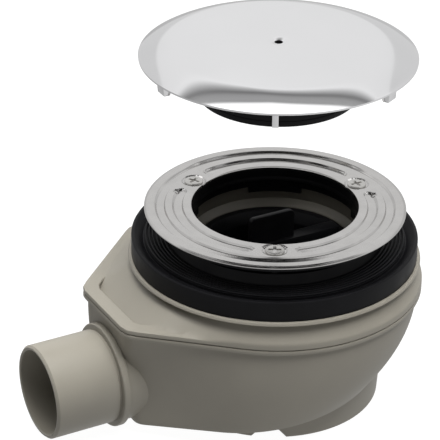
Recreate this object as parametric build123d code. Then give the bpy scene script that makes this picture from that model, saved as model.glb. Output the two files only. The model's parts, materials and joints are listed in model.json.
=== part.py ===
"""Shower trap for a 90 mm tray hole: cover, clamp ring, seals, two-part body and dip tube.

Millimetres, +Z up. The origin lies on the inlet axis, in the plane of the clamp ring's outer rim.
The outlet pipe points to -X.
"""
from build123d import *
import os
from math import asin, atan2, cos, degrees, radians, sin, tan

# Driving dimensions of the clamp ring
ring_d = 110.0
ring_hole_d = 70.0
ring_sheet = 1.0
ring_roll = 0.8
ring_roll_width = 2.8
bead_depth = 0.7
bead_inner_r = 46.7
bead_outer_r = 50.1
groove_inner_r = 38.4
groove_outer_r = 41.9
groove_end_gap = 15.0
dimple_d = 10.4
pip_d = 3.0
pip_depth = 0.3
pip_r = 42.0
pip_angles = (-16.0, 136.0)

# Driving dimensions of the clamp screws and their inserts
screw_count = 3
screw_circle_r = 40.2
screw_first_angle = 0.0
screw_d = 4.0
screw_head_d = 8.0
screw_head_h = 1.2
screw_length = 22.0
screw_recess_span = 5.2
screw_recess_width = 1.1
screw_recess_depth = 1.1
insert_d = 5.6
insert_length = 8.0

# Driving dimensions of the sleeve under the ring
sleeve_wall = 1.4
sleeve_depth = 9.4
gasket_r = 53.0
gasket_t = 1.3
tab_drop = 2.5
tab_half_angle = 18.6
hook_drop = 3.0
hook_half_angle = 3.2
hook_angles = (-10.0, 130.0)
sleeve_boss_wall = 2.0
sleeve_boss_drop = 4.0

# Driving dimensions of the tray seal
seal_r = 60.5
seal_bottom_z = -20.75
seal_shoulder_z = -12.7
seal_shoulder_radius = 1.6
seal_rim_width = 6.6
seal_moat_width = 1.0
seal_moat_depth = 1.2
seal_rib_count = 6
seal_rib_pitch = 1.1
seal_rib_depth = 0.6
seal_rib_rise = 0.3
seal_lip_t = 1.2
seal_lip_width = 1.6

# Driving dimensions of the upper body
lip_r = 61.8
lip_t = 1.75
neck_r = 44.0
neck_top_z = -9.8
waist_inset = 4.8
waist_z = -24.2
flange_reach = 1.3
flange_end = 78.6
deck_foot_reach = 5.4
deck_foot_end = 77.5
deck_foot_z = -38.4
deck_drop = 2.8
flange_top_z = -31.6
seam_z = -33.85
flange_bottom_z = -36.0
flange_corner = 8.0
deck_rim_width = 6.2
pocket_corner = 1.2
seam_groove_depth = 0.6
seam_groove_height = 0.35
body_wall = 2.2
insert_boss_d = 8.4
insert_boss_depth = 15.0
inlet_step_z = -15.4
inlet_step = 0.7
inlet_seat_z = -19.6
inlet_seat_width = 1.6
inlet_stub_bottom_z = -30.0

# Driving dimensions of the lower body
box_front_angle = 41.0
box_back_angle = 43.0
box_back_touch = 88.0
outlet_y = 5.0
wall_inset = 1.8
bowl_mid_z = -58.0
bowl_mid_inset = 3.4
bowl_mid_shift = -3.5
bowl_bottom_z = -71.7
bowl_bottom_inset = 8.4
bowl_bottom_end_inset = 6.1
bowl_bottom_shift = -7.5
bowl_bottom_front_angle = 46.0
bowl_tilt = 8.0
bowl_edge = 1.2
pot_r = 47.6
pot_draft_z = -62.0
pot_floor_z = -81.8
weir_z = -27.5
foot_z = -86.3
foot_ring_r = 46.0
notch_count = 3
notch_first_angle = -121.0
notch_top_angle = 10.0
notch_bottom_angle = 18.0
notch_height = 4.0

# Driving dimensions of the outlet
pipe_d = 40.0
pipe_wall = 2.0
pipe_z = -63.75
pipe_mouth_x = -108.8
pipe_chamfer = 0.9
collar_d = 44.6
collar_width = 4.4
collar_x = -76.6
hub_d = 41.6

# Driving dimensions of the dip tube
cup_rim_t = 1.2
cup_wall = 1.8
cup_top_r = 31.4
cup_bottom_r = 28.6
cup_bottom_z = -73.5
cup_seal_z = -24.5
cup_seal_section = 2.0
bridge_width = 6.4
bridge_top_z = -16.4
bridge_height = 5.0
grip_t = 2.4
grip_left_x = -12.1
grip_right_x = 8.9
grip_top_z = -4.0
grip_corner = 2.0

# Driving dimensions of the cover, drawn lifted off as it is for cleaning
cover_r = 57.2
cover_rim_z = 68.7
cover_rise = 4.7
cover_crown = 1.2
cover_top_r = 43.0
cover_sheet = 1.4
cover_hole_d = 3.5
cover_dimple_d = 8.0
cover_dimple_depth = 0.5
foot_drop = 7.1
foot_r = 51.4
foot_width = 6.0
foot_t = 4.0
foot_first_angle = 58.5
skirt_r = 33.0
skirt_wall = 2.0
skirt_bottom_z = 51.7
skirt_groove_count = 3
skirt_groove_pitch = 2.6
skirt_groove_size = 0.3
leg_width = 2.6
leg_t = 0.7

# Fits
fit_gap = 0.3
cup_gap = 0.6

# Radii of the body that follow its shelf
waist_r = lip_r - waist_inset
flange_r = lip_r + flange_reach
deck_foot_r = flange_r + deck_foot_reach

# Radii of the inlet that follow the dip tube in it
inlet_bore_r = cup_top_r + cup_gap
inlet_seat_r = inlet_bore_r + inlet_seat_width


def section(*points):
    """Closed face in the XZ plane from (radius, height) corners."""
    return Plane.XZ * make_face(Polyline(*points, close=True))


def turned(*points):
    """Solid of revolution about the inlet axis."""
    return revolve(section(*points), Axis.Z)


def tube(outer_r, inner_r, low_z, high_z):
    """Straight ring about the inlet axis."""
    return turned((inner_r, low_z), (outer_r, low_z), (outer_r, high_z), (inner_r, high_z))


def disc(radius, low_z, high_z):
    """Straight disc on the inlet axis."""
    return Pos(0, 0, low_z) * Cylinder(radius, high_z - low_z, align=(Align.CENTER, Align.CENTER, Align.MIN))


def sector(outer_r, inner_r, low_z, high_z, middle_angle, half_angle):
    """Piece of a ring that spans twice the half angle."""
    profile = section((inner_r, low_z), (outer_r, low_z), (outer_r, high_z), (inner_r, high_z))
    return Rot(0, 0, middle_angle - half_angle) * revolve(profile, Axis.Z, 2 * half_angle)


def around(count, first_angle):
    """Evenly spaced angles about the inlet axis."""
    return [first_angle + 360.0 * step / count for step in range(count)]


def polar(radius, angle):
    """Point at a radius and an angle in degrees."""
    return (radius * cos(radians(angle)), radius * sin(radians(angle)))


def box_outline(round_r, end_x, corner_r, front_angle=box_front_angle):
    """Plan of the body: a circle on the inlet axis that runs out into the outlet box on the left."""
    front = radians(front_angle)
    back = radians(box_back_angle)
    touch = radians(box_back_touch)
    front_touch = (-round_r * sin(front), -round_r * cos(front))
    back_touch = polar(round_r, box_back_touch)
    front_corner_y = -(round_r - end_x * sin(front)) / cos(front)
    back_corner_y = 2 * outlet_y - front_corner_y
    back_gap = round_r - back_corner_y * sin(touch) + end_x * cos(touch)
    back_run = back_gap / (cos(back) * cos(touch) + sin(back) * sin(touch))
    box = FilletPolyline(
        front_touch,
        (-end_x, front_corner_y),
        (-end_x, back_corner_y),
        (-end_x + back_run * cos(back), back_corner_y + back_run * sin(back)),
        back_touch,
        radius=corner_r,
    )
    middle_of_round = polar(round_r, (box_back_touch - 90.0 - front_angle) / 2)
    round_side = ThreePointArc(back_touch, middle_of_round, front_touch)
    return Wire(box.edges() + round_side.edges())


def circle_like(radius, outline):
    """Circle split at the polar angles of an outline's corners, to loft to it."""
    arcs = []
    for edge in outline.order_edges():
        ends = [degrees(atan2(point.Y, point.X)) for point in (edge @ 0, edge @ 0.5, edge @ 1)]
        arcs += ThreePointArc(*[polar(radius, angle) for angle in ends]).edges()
    return Wire(arcs)


def plate(outline, low_z, high_z):
    """Flat plate with a given plan."""
    return Pos(0, 0, low_z) * extrude(make_face(outline.edges()), high_z - low_z)


def tilted(height, tilt):
    """Plane across the inlet axis that falls towards the outlet."""
    fall = radians(tilt)
    return Plane(origin=(0, 0, height), x_dir=(cos(fall), 0, sin(fall)), z_dir=(-sin(fall), 0, cos(fall)))


def bowl_plan(height, tilt, shift, round_r, end_x, front_angle):
    """Plan of the bowl at one height, shifted and tilted towards the outlet."""
    outline = box_outline(round_r, end_x + shift, flange_corner, front_angle)
    return tilted(height, tilt).location * Pos(shift, 0, 0) * outline


def bowl_floor_plan(inset, lift):
    """Plan of the bowl's floor, set in and lifted along the inlet axis."""
    return bowl_plan(
        bowl_bottom_z + lift,
        bowl_tilt,
        bowl_bottom_shift,
        flange_r - bowl_bottom_inset - inset,
        flange_end - bowl_bottom_end_inset - inset,
        bowl_bottom_front_angle,
    )


def box_bowl(inset, lift):
    """Bowl below the flange, through three plans that lean more and more towards the outlet."""
    wall = wall_inset + inset
    top = Pos(0, 0, flange_bottom_z) * box_outline(flange_r - wall, flange_end - wall, flange_corner)
    middle = bowl_plan(
        bowl_mid_z + lift / 2,
        bowl_tilt / 2,
        bowl_mid_shift,
        flange_r - bowl_mid_inset - inset,
        flange_end - bowl_mid_inset - inset,
        (box_front_angle + bowl_bottom_front_angle) / 2,
    )
    return Solid.make_loft([top, middle, bowl_floor_plan(inset, lift)])


def outlet_bar(radius, from_x, to_x):
    """Cylinder on the outlet axis."""
    length = to_x - from_x
    bar = Cylinder(radius, length, align=(Align.CENTER, Align.CENTER, Align.MIN))
    return Pos(from_x, outlet_y, pipe_z) * Rot(0, 90, 0) * bar


screw_angles = around(screw_count, screw_first_angle)
between_screws = 180.0 / screw_count
ring_top_z = ring_roll
ring_under_z = ring_roll - ring_sheet
press_z = ring_under_z - bead_depth
head_seat_z = ring_top_z - bead_depth
sleeve_bore_r = ring_hole_d / 2 + fit_gap
sleeve_r = sleeve_bore_r + sleeve_wall
neck_bore_r = sleeve_r + fit_gap
screw_hole_d = screw_d + 2 * fit_gap
shelf_low_z = seal_bottom_z - lip_t
cup_rim_z = inlet_seat_z + cup_rim_t


def pressed_arc(from_angle, to_angle):
    """Section of an arc groove, swept about the inlet axis."""
    profile = section(
        (groove_inner_r, ring_top_z),
        (groove_inner_r + bead_depth, ring_top_z - bead_depth),
        (groove_outer_r - bead_depth, ring_top_z - bead_depth),
        (groove_outer_r, ring_top_z),
    )
    return Rot(0, 0, from_angle) * revolve(profile, Axis.Z, to_angle - from_angle)


def clamp_ring():
    """Pressed ring: rolled edges, one outer bead, three arc grooves, screw dimples and two pips."""
    outer_r = ring_d / 2
    inner_r = ring_hole_d / 2
    ring = turned(
        (inner_r, 0.0),
        (inner_r + ring_roll, ring_top_z),
        (bead_inner_r, ring_top_z),
        (bead_inner_r + bead_depth, ring_top_z - bead_depth),
        (bead_outer_r - bead_depth, ring_top_z - bead_depth),
        (bead_outer_r, ring_top_z),
        (outer_r - ring_roll_width, ring_top_z),
        (outer_r, 0.0),
        (outer_r, -ring_sheet),
        (outer_r - ring_roll_width, ring_under_z),
        (bead_outer_r, ring_under_z),
        (bead_outer_r - bead_depth, press_z),
        (bead_inner_r + bead_depth, press_z),
        (bead_inner_r, ring_under_z),
        (inner_r + ring_roll, ring_under_z),
        (inner_r, -ring_sheet),
    )
    for angle in screw_angles:
        groove = pressed_arc(angle + groove_end_gap, angle + 2 * between_screws - groove_end_gap)
        ring += Pos(0, 0, -ring_sheet) * groove
        ring -= groove
        dimple = Pos(*polar(screw_circle_r, angle), head_seat_z) * Cone(
            dimple_d / 2 - bead_depth,
            dimple_d / 2,
            bead_depth,
            align=(Align.CENTER, Align.CENTER, Align.MIN),
        )
        ring += Pos(0, 0, -ring_sheet) * dimple
        ring -= dimple
        ring -= Pos(*polar(screw_circle_r, angle), 0) * Cylinder(screw_hole_d / 2, ring_d)
    for angle in pip_angles:
        ring -= Pos(*polar(pip_r, angle), ring_top_z) * Cylinder(pip_d / 2, pip_depth * 2)
    return ring


def clamp_screw(angle):
    """Cross-recess screw with a domed head, seated in its dimple."""
    low = Align.CENTER, Align.CENTER, Align.MIN
    high = Align.CENTER, Align.CENTER, Align.MAX
    head = Cylinder(screw_head_d / 2, screw_head_h, align=low)
    head = fillet(head.faces().sort_by(Axis.Z)[-1].edges(), screw_head_h * 0.6)
    for turn in (0, 90):
        slot = Box(screw_recess_span, screw_recess_width, screw_recess_depth, align=high)
        head -= Pos(0, 0, screw_head_h) * Rot(0, 0, turn) * slot
    shank = Cylinder(screw_d / 2, screw_length, align=high)
    shank = chamfer(shank.faces().sort_by(Axis.Z)[0].edges(), screw_d * 0.2)
    return Pos(*polar(screw_circle_r, angle), head_seat_z) * Rot(0, 0, angle) * (head + shank)


def screw_insert(angle):
    """Threaded brass insert with a waist that holds it in its boss."""
    outer_r = insert_d / 2
    bore_r = screw_d / 2
    waist = insert_length / 3
    profile = section(
        (bore_r, 0),
        (bore_r, -insert_length),
        (outer_r, -insert_length),
        (outer_r, -2 * waist),
        (outer_r - fit_gap, -2 * waist),
        (outer_r - fit_gap, -waist),
        (outer_r, -waist),
        (outer_r, 0),
    )
    return Pos(*polar(screw_circle_r, angle), neck_top_z) * revolve(profile, Axis.Z)


def clamp_sleeve():
    """Sleeve that hangs in the tray hole: gasket flange, screw bosses, tabs and snap hooks."""
    flange_low_z = press_z - gasket_t
    edge_z = -sleeve_depth
    hook_z = edge_z - hook_drop
    lip = gasket_t / 2
    sleeve = turned(
        (sleeve_bore_r, press_z),
        (gasket_r, press_z),
        (gasket_r, flange_low_z - lip),
        (gasket_r - 2 * lip, flange_low_z),
        (sleeve_r, flange_low_z),
        (sleeve_r, hook_z),
        (sleeve_bore_r, hook_z),
    )
    trim_r = sleeve_r + sleeve_wall
    trim_bore_r = sleeve_bore_r - sleeve_wall
    trim = tube(trim_r, trim_bore_r, hook_z, edge_z)
    for angle in screw_angles:
        trim -= sector(trim_r, trim_bore_r, edge_z - tab_drop, edge_z, angle + between_screws, tab_half_angle)
    for angle in hook_angles:
        trim -= sector(trim_r, trim_bore_r, hook_z, edge_z, angle, hook_half_angle)
    sleeve -= trim
    for angle in screw_angles:
        place = Pos(*polar(screw_circle_r, angle), flange_low_z)
        boss_r = screw_hole_d / 2 + sleeve_boss_wall
        sleeve += place * Cylinder(boss_r, sleeve_boss_drop, align=(Align.CENTER, Align.CENTER, Align.MAX))
        sleeve -= place * Cylinder(screw_hole_d / 2, ring_d)
    return sleeve


def tray_seal():
    """Rubber ring on the shelf: round shoulder, moat, ribs for the tray and a lip over the neck."""
    bore_r = neck_r + fit_gap
    shoulder = seal_r - seal_shoulder_radius
    rib_r = seal_r - seal_rim_width - seal_moat_width
    ribs = []
    for step in range(seal_rib_count):
        crest_r = rib_r - step * seal_rib_pitch
        crest_z = seal_shoulder_z + seal_rib_depth + step * seal_rib_rise
        ribs += [
            (crest_r, crest_z - seal_rib_depth),
            (crest_r - seal_rib_pitch * 0.3, crest_z),
            (crest_r - seal_rib_pitch * 0.7, crest_z),
        ]
    crown_r = rib_r - seal_rib_count * seal_rib_pitch
    crown_z = seal_shoulder_z + seal_rib_count * seal_rib_rise
    top = Polyline(
        (shoulder, seal_shoulder_z),
        (seal_r - seal_rim_width, seal_shoulder_z),
        (seal_r - seal_rim_width, seal_shoulder_z - seal_moat_depth),
        (rib_r, seal_shoulder_z - seal_moat_depth),
        *ribs,
        (crown_r, crown_z),
        (bore_r + seal_lip_width, crown_z),
        (bore_r, neck_top_z + seal_lip_t),
        (neck_bore_r, neck_top_z + seal_lip_t),
        (neck_bore_r, neck_top_z),
        (bore_r, neck_top_z),
        (bore_r, seal_bottom_z),
        (seal_r, seal_bottom_z),
        (seal_r, seal_shoulder_z - seal_shoulder_radius),
    )
    round_edge = CenterArc((shoulder, seal_shoulder_z - seal_shoulder_radius), seal_shoulder_radius, 0, 90)
    seal = revolve(Plane.XZ * make_face(top.edges() + round_edge.edges()), Axis.Z)
    for angle in screw_angles:
        seal -= Pos(*polar(screw_circle_r, angle), neck_top_z) * Cylinder(screw_hole_d / 2, 4 * seal_lip_t)
    return seal


def upper_body():
    """Upper half: neck with screw bosses, shelf, waist and the deck that falls into the outlet box."""
    flange = box_outline(flange_r, flange_end, flange_corner)
    rim = box_outline(flange_r - deck_rim_width, flange_end - deck_rim_width, pocket_corner)
    inside = wall_inset + body_wall + fit_gap
    spigot = box_outline(flange_r - inside, flange_end - inside, flange_corner)
    groove = box_outline(flange_r - seam_groove_depth, flange_end - seam_groove_depth, flange_corner)
    deck_foot = box_outline(deck_foot_r, deck_foot_end, flange_corner)
    deck = Solid.make_loft(
        [Pos(0, 0, deck_foot_z) * deck_foot, Pos(0, 0, waist_z) * circle_like(waist_r, deck_foot)], True
    )
    under_deck = Pos(0, 0, -deck_drop) * deck
    low_z = deck_foot_z - deck_drop

    body = deck & plate(flange, seam_z, waist_z)
    body += plate(flange, seam_z, flange_top_z) - plate(rim, seam_z, flange_top_z)
    body += deck & plate(spigot, deck_foot_z, seam_z)
    body += plate(spigot, deck_foot_z, seam_z) - plate(rim, deck_foot_z, seam_z)
    body -= plate(flange, seam_z, seam_z + seam_groove_height) - plate(
        groove, seam_z, seam_z + seam_groove_height
    )
    body += disc(waist_r, waist_z, shelf_low_z)
    body += disc(lip_r, shelf_low_z, seal_bottom_z)
    body += disc(neck_r, seal_bottom_z, neck_top_z)

    body -= under_deck & plate(rim, low_z, waist_z)
    body -= upper_chamber()
    body -= turned(
        (0, neck_top_z),
        (neck_bore_r, neck_top_z),
        (neck_bore_r, inlet_step_z),
        (neck_bore_r - inlet_step, inlet_step_z),
        (inlet_seat_r, cup_rim_z),
        (inlet_seat_r, inlet_seat_z),
        (inlet_bore_r, inlet_seat_z),
        (inlet_bore_r, low_z),
        (0, low_z),
    )
    for angle in screw_angles:
        place = Pos(*polar(screw_circle_r, angle), neck_top_z)
        high = Align.CENTER, Align.CENTER, Align.MAX
        body -= place * Cylinder(insert_d / 2, insert_length, align=high)
        body -= place * Cylinder(screw_hole_d / 2, insert_boss_depth - body_wall, align=high)
    return body


def upper_chamber():
    """Space under the shelf and inside the neck, around the inlet stub and the screw bosses."""
    low_z = deck_foot_z - deck_drop
    stub_r = inlet_bore_r + body_wall
    neck_inner = neck_bore_r + body_wall
    neck_outer = neck_r - body_wall
    roof_z = neck_top_z - body_wall
    space = turned(
        (stub_r, low_z),
        (waist_r - body_wall, low_z),
        (waist_r - body_wall, shelf_low_z),
        (neck_outer, shelf_low_z),
        (neck_outer, roof_z),
        (neck_inner, roof_z),
        (neck_inner, shelf_low_z),
        (stub_r, shelf_low_z),
    )
    for angle in screw_angles:
        boss = Pos(*polar(screw_circle_r, angle), neck_top_z) * Cylinder(
            insert_boss_d / 2, insert_boss_depth, align=(Align.CENTER, Align.CENTER, Align.MAX)
        )
        space -= boss
    return space + disc(stub_r, low_z, inlet_stub_bottom_z)


def foot_notch(angle):
    """Drain notch in the foot ring, wider at the floor."""
    top_half = pot_r * tan(radians(notch_top_angle / 2))
    bottom_half = pot_r * tan(radians(notch_bottom_angle / 2))
    face = Plane.YZ * make_face(
        Polyline(
            (-bottom_half, foot_z),
            (bottom_half, foot_z),
            (top_half, foot_z + notch_height),
            (-top_half, foot_z + notch_height),
            close=True,
        )
    )
    return Rot(0, 0, angle) * Pos(pot_r - 2 * body_wall, 0, 0) * extrude(face, 4 * body_wall)


def lower_body():
    """Lower half: bowl that falls to the outlet, pot with its weir, foot ring and outlet pipe."""
    flange = box_outline(flange_r, flange_end, flange_corner)
    inside = wall_inset + body_wall
    wall = box_outline(flange_r - inside, flange_end - inside, flange_corner)
    broken_edge = Solid.make_loft([bowl_floor_plan(bowl_edge, 0), bowl_floor_plan(0, bowl_edge)], True)
    body = box_bowl(0, bowl_edge) + broken_edge + plate(flange, flange_bottom_z, seam_z)
    body += outlet_bar(hub_d / 2, collar_x, -pot_r)
    body += outlet_bar(collar_d / 2, collar_x - collar_width / 2, collar_x + collar_width / 2)
    body += outlet_bar(pipe_d / 2, pipe_mouth_x, collar_x)
    body -= box_bowl(body_wall, body_wall)
    body -= plate(wall, flange_bottom_z, seam_z)
    body -= outlet_bar(pipe_d / 2 - pipe_wall, pipe_mouth_x, -pot_r - body_wall)

    pot_floor_top = pot_floor_z + body_wall
    pot_bore_r = pot_r - body_wall
    foot_bore_r = foot_ring_r - body_wall
    body += turned((0, foot_z), (foot_ring_r, foot_z), (pot_r, pot_draft_z), (pot_r, weir_z), (0, weir_z))
    body -= turned(
        (0, pot_floor_top),
        (foot_bore_r, pot_floor_top),
        (pot_bore_r, pot_draft_z),
        (pot_bore_r, weir_z),
        (0, weir_z),
    )
    body -= disc(foot_bore_r, foot_z, pot_floor_z)
    for angle in around(notch_count, notch_first_angle):
        body -= foot_notch(angle)
    mouth = body.edges().filter_by(GeomType.CIRCLE).sort_by(Axis.X)[0]
    return chamfer(mouth, pipe_chamfer)


def dip_cup():
    """Dip tube with its rim, O-ring groove, bridge and grip."""
    rim_r = inlet_seat_r - fit_gap
    groove_r = inlet_bore_r - cup_seal_section
    groove_half = cup_seal_section / 2 + fit_gap
    head_bore_r = groove_r - cup_wall
    tube_r = head_bore_r + cup_wall
    cup = turned(
        (rim_r, cup_rim_z),
        (rim_r, inlet_seat_z),
        (cup_top_r, inlet_seat_z),
        (cup_top_r, cup_seal_z + groove_half),
        (groove_r, cup_seal_z + groove_half),
        (groove_r, cup_seal_z - groove_half),
        (cup_top_r, cup_seal_z - groove_half),
        (cup_top_r, inlet_stub_bottom_z),
        (tube_r, inlet_stub_bottom_z),
        (cup_bottom_r, cup_bottom_z),
        (cup_bottom_r - cup_wall, cup_bottom_z),
        (head_bore_r, inlet_stub_bottom_z),
        (head_bore_r, cup_seal_z + groove_half),
        (cup_top_r - cup_wall / 2, cup_rim_z),
    )
    bridge = Pos(0, 0, bridge_top_z) * Box(
        2 * cup_top_r, bridge_width, bridge_height, align=(Align.CENTER, Align.CENTER, Align.MAX)
    )
    cup += bridge & disc(cup_top_r - cup_wall / 2, bridge_top_z - bridge_height, bridge_top_z)
    grip_root_z = bridge_top_z - bridge_height / 2
    grip_face = section(
        (grip_left_x, grip_root_z),
        (grip_right_x, grip_root_z),
        (grip_right_x, grip_top_z),
        (grip_left_x, grip_top_z),
    )
    grip = extrude(grip_face, grip_t / 2, both=True)
    top_corners = grip.edges().filter_by(Axis.Y).group_by(Axis.Z)[-1]
    return cup + fillet(top_corners, grip_corner)


def dip_cup_seal():
    """O-ring that fills the gap between the groove and the inlet bore."""
    middle_r = inlet_bore_r - cup_seal_section / 2
    return Pos(0, 0, cup_seal_z) * Torus(middle_r, cup_seal_section / 2)


def dome_lines(inset, from_r):
    """Side line of the cover, set in by a sheet: the crowned top, then the shoulder to the rim."""
    crown_turn = 2 * atan2(cover_crown, cover_top_r)
    crown_r = cover_top_r / sin(crown_turn)
    chord_turn = atan2(cover_rise, cover_r - cover_top_r)
    rim_turn = 2 * chord_turn - crown_turn
    shoulder_r = (cover_r - cover_top_r) / (sin(rim_turn) - sin(crown_turn))

    def arc(radius, centre_r, centre_z, from_turn, to_turn):
        turns = (from_turn, (from_turn + to_turn) / 2, to_turn)
        return [(centre_r + radius * sin(turn), centre_z + radius * cos(turn)) for turn in turns]

    shoulder_z = cover_rim_z + cover_rise
    crown_from = asin(from_r / (crown_r - inset))
    crown = arc(crown_r - inset, 0, shoulder_z - crown_r * cos(crown_turn), crown_from, crown_turn)
    shoulder = arc(
        shoulder_r - inset,
        cover_top_r - shoulder_r * sin(crown_turn),
        shoulder_z - shoulder_r * cos(crown_turn),
        crown_turn,
        rim_turn,
    )
    return crown, shoulder


def dome(inset):
    """Solid under the cover's side line, down to the plane of its rim feet and below."""
    crown, shoulder = dome_lines(inset, 0.0)
    rim_r, rim_z = shoulder[2]
    edges = [
        ThreePointArc(*crown),
        ThreePointArc(*shoulder),
        Polyline((rim_r, rim_z), (rim_r, 0), (0, 0), crown[0]),
    ]
    return revolve(Plane.XZ * make_face([edge for line in edges for edge in line.edges()]), Axis.Z)


def cover_cap():
    """Domed cap with a centre hole, three rest feet and three legs that hold the skirt."""
    outer_crown, outer_shoulder = dome_lines(0.0, cover_dimple_d / 2)
    inner_crown, inner_shoulder = dome_lines(cover_sheet, cover_hole_d / 2)
    peak_z = outer_crown[0][1]
    edges = [
        ThreePointArc(*outer_crown),
        ThreePointArc(*outer_shoulder),
        Line(outer_shoulder[2], inner_shoulder[2]),
        ThreePointArc(*reversed(inner_shoulder)),
        ThreePointArc(*reversed(inner_crown)),
        Polyline(inner_crown[0], (cover_hole_d / 2, peak_z - cover_dimple_depth), outer_crown[0]),
    ]
    cap = revolve(Plane.XZ * make_face([edge for line in edges for edge in line.edges()]), Axis.Z)
    inside = dome(cover_sheet / 2)
    foot_z_low = cover_rim_z - foot_drop
    foot_face = section(
        (foot_r - foot_t * 0.3, foot_z_low),
        (foot_r + foot_t * 0.4, foot_z_low),
        (foot_r + foot_t * 0.6, peak_z),
        (foot_r - foot_t, peak_z),
    )
    foot = extrude(foot_face, foot_width / 2, both=True) & inside
    leg_outer_r = skirt_r + leg_t
    leg_face = section(
        (skirt_r, skirt_bottom_z), (leg_outer_r, skirt_bottom_z), (leg_outer_r, peak_z), (skirt_r, peak_z)
    )
    leg = extrude(leg_face, leg_width / 2, both=True) & inside
    for angle in around(3, foot_first_angle):
        cap += Rot(0, 0, angle) * foot
        cap += Rot(0, 0, angle + 60) * leg
    return cap


def cover_skirt():
    """Ring under the cover with fine grooves round its outside."""
    skirt = tube(skirt_r, skirt_r - skirt_wall, skirt_bottom_z, cover_rim_z + cover_rise + cover_crown)
    skirt &= dome(cover_sheet)
    for step in range(skirt_groove_count):
        middle_z = skirt_bottom_z + skirt_groove_pitch * (step + 1)
        skirt -= tube(
            skirt_r, skirt_r - skirt_groove_size, middle_z - skirt_groove_size, middle_z + skirt_groove_size
        )
    return skirt


parts = {
    "cover_cap": cover_cap(),
    "cover_skirt": cover_skirt(),
    "clamp_ring": clamp_ring(),
    "clamp_sleeve": clamp_sleeve(),
    "tray_seal": tray_seal(),
    "upper_body": upper_body(),
    "lower_body": lower_body(),
    "dip_cup": dip_cup(),
    "dip_cup_seal": dip_cup_seal(),
}
for number, screw_angle in enumerate(screw_angles, 1):
    parts[f"clamp_screw_{number}"] = clamp_screw(screw_angle)
    parts[f"screw_insert_{number}"] = screw_insert(screw_angle)

os.makedirs("parts", exist_ok=True)
for name, shape in parts.items():
    export_step(shape, f"parts/{name}.step")
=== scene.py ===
"""Finished look of a shower trap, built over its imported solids. Metres, +Z up, outlet to -X."""

import json
import math

import bmesh
import bpy
from mathutils import Matrix, Vector
from mathutils.geometry import intersect_line_line_2d


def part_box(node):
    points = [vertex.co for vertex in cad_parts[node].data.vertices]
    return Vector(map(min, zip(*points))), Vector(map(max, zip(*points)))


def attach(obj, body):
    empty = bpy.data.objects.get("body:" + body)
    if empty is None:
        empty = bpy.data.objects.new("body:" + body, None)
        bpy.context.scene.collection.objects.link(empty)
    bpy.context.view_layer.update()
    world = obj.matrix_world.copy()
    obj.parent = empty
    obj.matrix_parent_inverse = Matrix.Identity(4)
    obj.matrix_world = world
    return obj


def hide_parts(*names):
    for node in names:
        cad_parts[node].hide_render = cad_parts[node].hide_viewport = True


bl_info = {
    "name": "Shower trap",
    "version": (1, 0, 0),
    "blender": (4, 5, 0),
    "location": "3D View > Sidebar > Trap",
    "description": "Builds the finished pieces of a shower trap over its packed solids",
    "category": "Object",
}

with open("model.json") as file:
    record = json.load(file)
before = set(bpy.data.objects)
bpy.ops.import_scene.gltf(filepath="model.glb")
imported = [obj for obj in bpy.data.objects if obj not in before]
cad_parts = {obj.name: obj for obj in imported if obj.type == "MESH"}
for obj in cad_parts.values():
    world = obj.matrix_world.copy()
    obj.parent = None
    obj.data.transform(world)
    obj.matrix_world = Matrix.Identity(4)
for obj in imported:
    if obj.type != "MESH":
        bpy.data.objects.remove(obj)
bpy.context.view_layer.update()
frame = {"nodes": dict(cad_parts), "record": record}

MM = 0.001

# Boxes of the solids that set sizes here
RING_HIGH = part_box("clamp_ring")[1]
SCREW_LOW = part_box("clamp_screw_1")[0]
SLEEVE_LOW, SLEEVE_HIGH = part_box("clamp_sleeve")
SEAL_LOW, SEAL_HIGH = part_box("tray_seal")
UPPER_LOW, UPPER_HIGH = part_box("upper_body")
LOWER_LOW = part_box("lower_body")[0]
CUP_LOW, CUP_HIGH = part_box("dip_cup")
COVER_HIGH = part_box("cover_cap")[1]
SKIRT_LOW, SKIRT_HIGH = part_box("cover_skirt")

# Steps of the turned, pressed and swept shapes
TURN_SEGMENTS = 192
RING_SEGMENTS = 480
RING_ROWS = 120
UNDER_ROWS = 28
SCREW_SEGMENTS = 64
BOSS_SEGMENTS = 48
DRILL_SEGMENTS = 32
PIPE_SEGMENTS = 128
COVER_SEGMENTS = 256
RIB_SIDES = 12
DECK_STEPS = 12
RIM_STEPS = 4
DOME_STEPS = 24

# Rounds of crisp, moulded and soft edges, and how far the middle of a rounded edge is set back
CRISP_R = 0.1 * MM
MOULD_R = 0.25 * MM
SOFT_R = 0.3 * MM
CHORD = 0.3

# Bend that stays as it is, greatest share of a side that a round takes, and distance at which points merge
NEARLY_STRAIGHT = 0.01
CORNER_SHARE = 0.49
DOUBLES = 1e-7

# How far a cutter reaches past a face, and a root or a tab into its wall
PAST = 1.0 * MM
ROOT = 0.5 * MM
SUNK = 0.1 * MM

# Angles in degrees from which an edge is drawn sharp
SHARP = 32.0
BODY_SHARP = 28.0

COPIES_TREE = "Copies about the inlet axis"

# Clamp ring: rolled edge, pressed shapes, dimples and pips
RING_TOP_Z = 0.25 * MM
ROLL_WIDTH = 1.4 * MM
ROLL_DROP = 0.4 * MM
ROLL_CURVE = 1.7
HOLE_EDGE = 0.5 * MM
PRESS_LEAST = 0.74 * MM
PRESS_INNER = 0.4 * MM
PRESS_OUTER = 0.9 * MM
FLOOR_FLAT = 1.0 * MM
GROOVE_GAP = math.radians(12.3)
RING_DIMPLE_R = 5.2 * MM
RING_DIMPLE_DEPTH = 0.5 * MM
PIP_CIRCLE_R = 43.2 * MM
PIP_R = 1.5 * MM
PIP_DEPTH = 0.5 * MM
PIP_TURNS = (math.radians(-16.0), math.radians(136.0))

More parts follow.
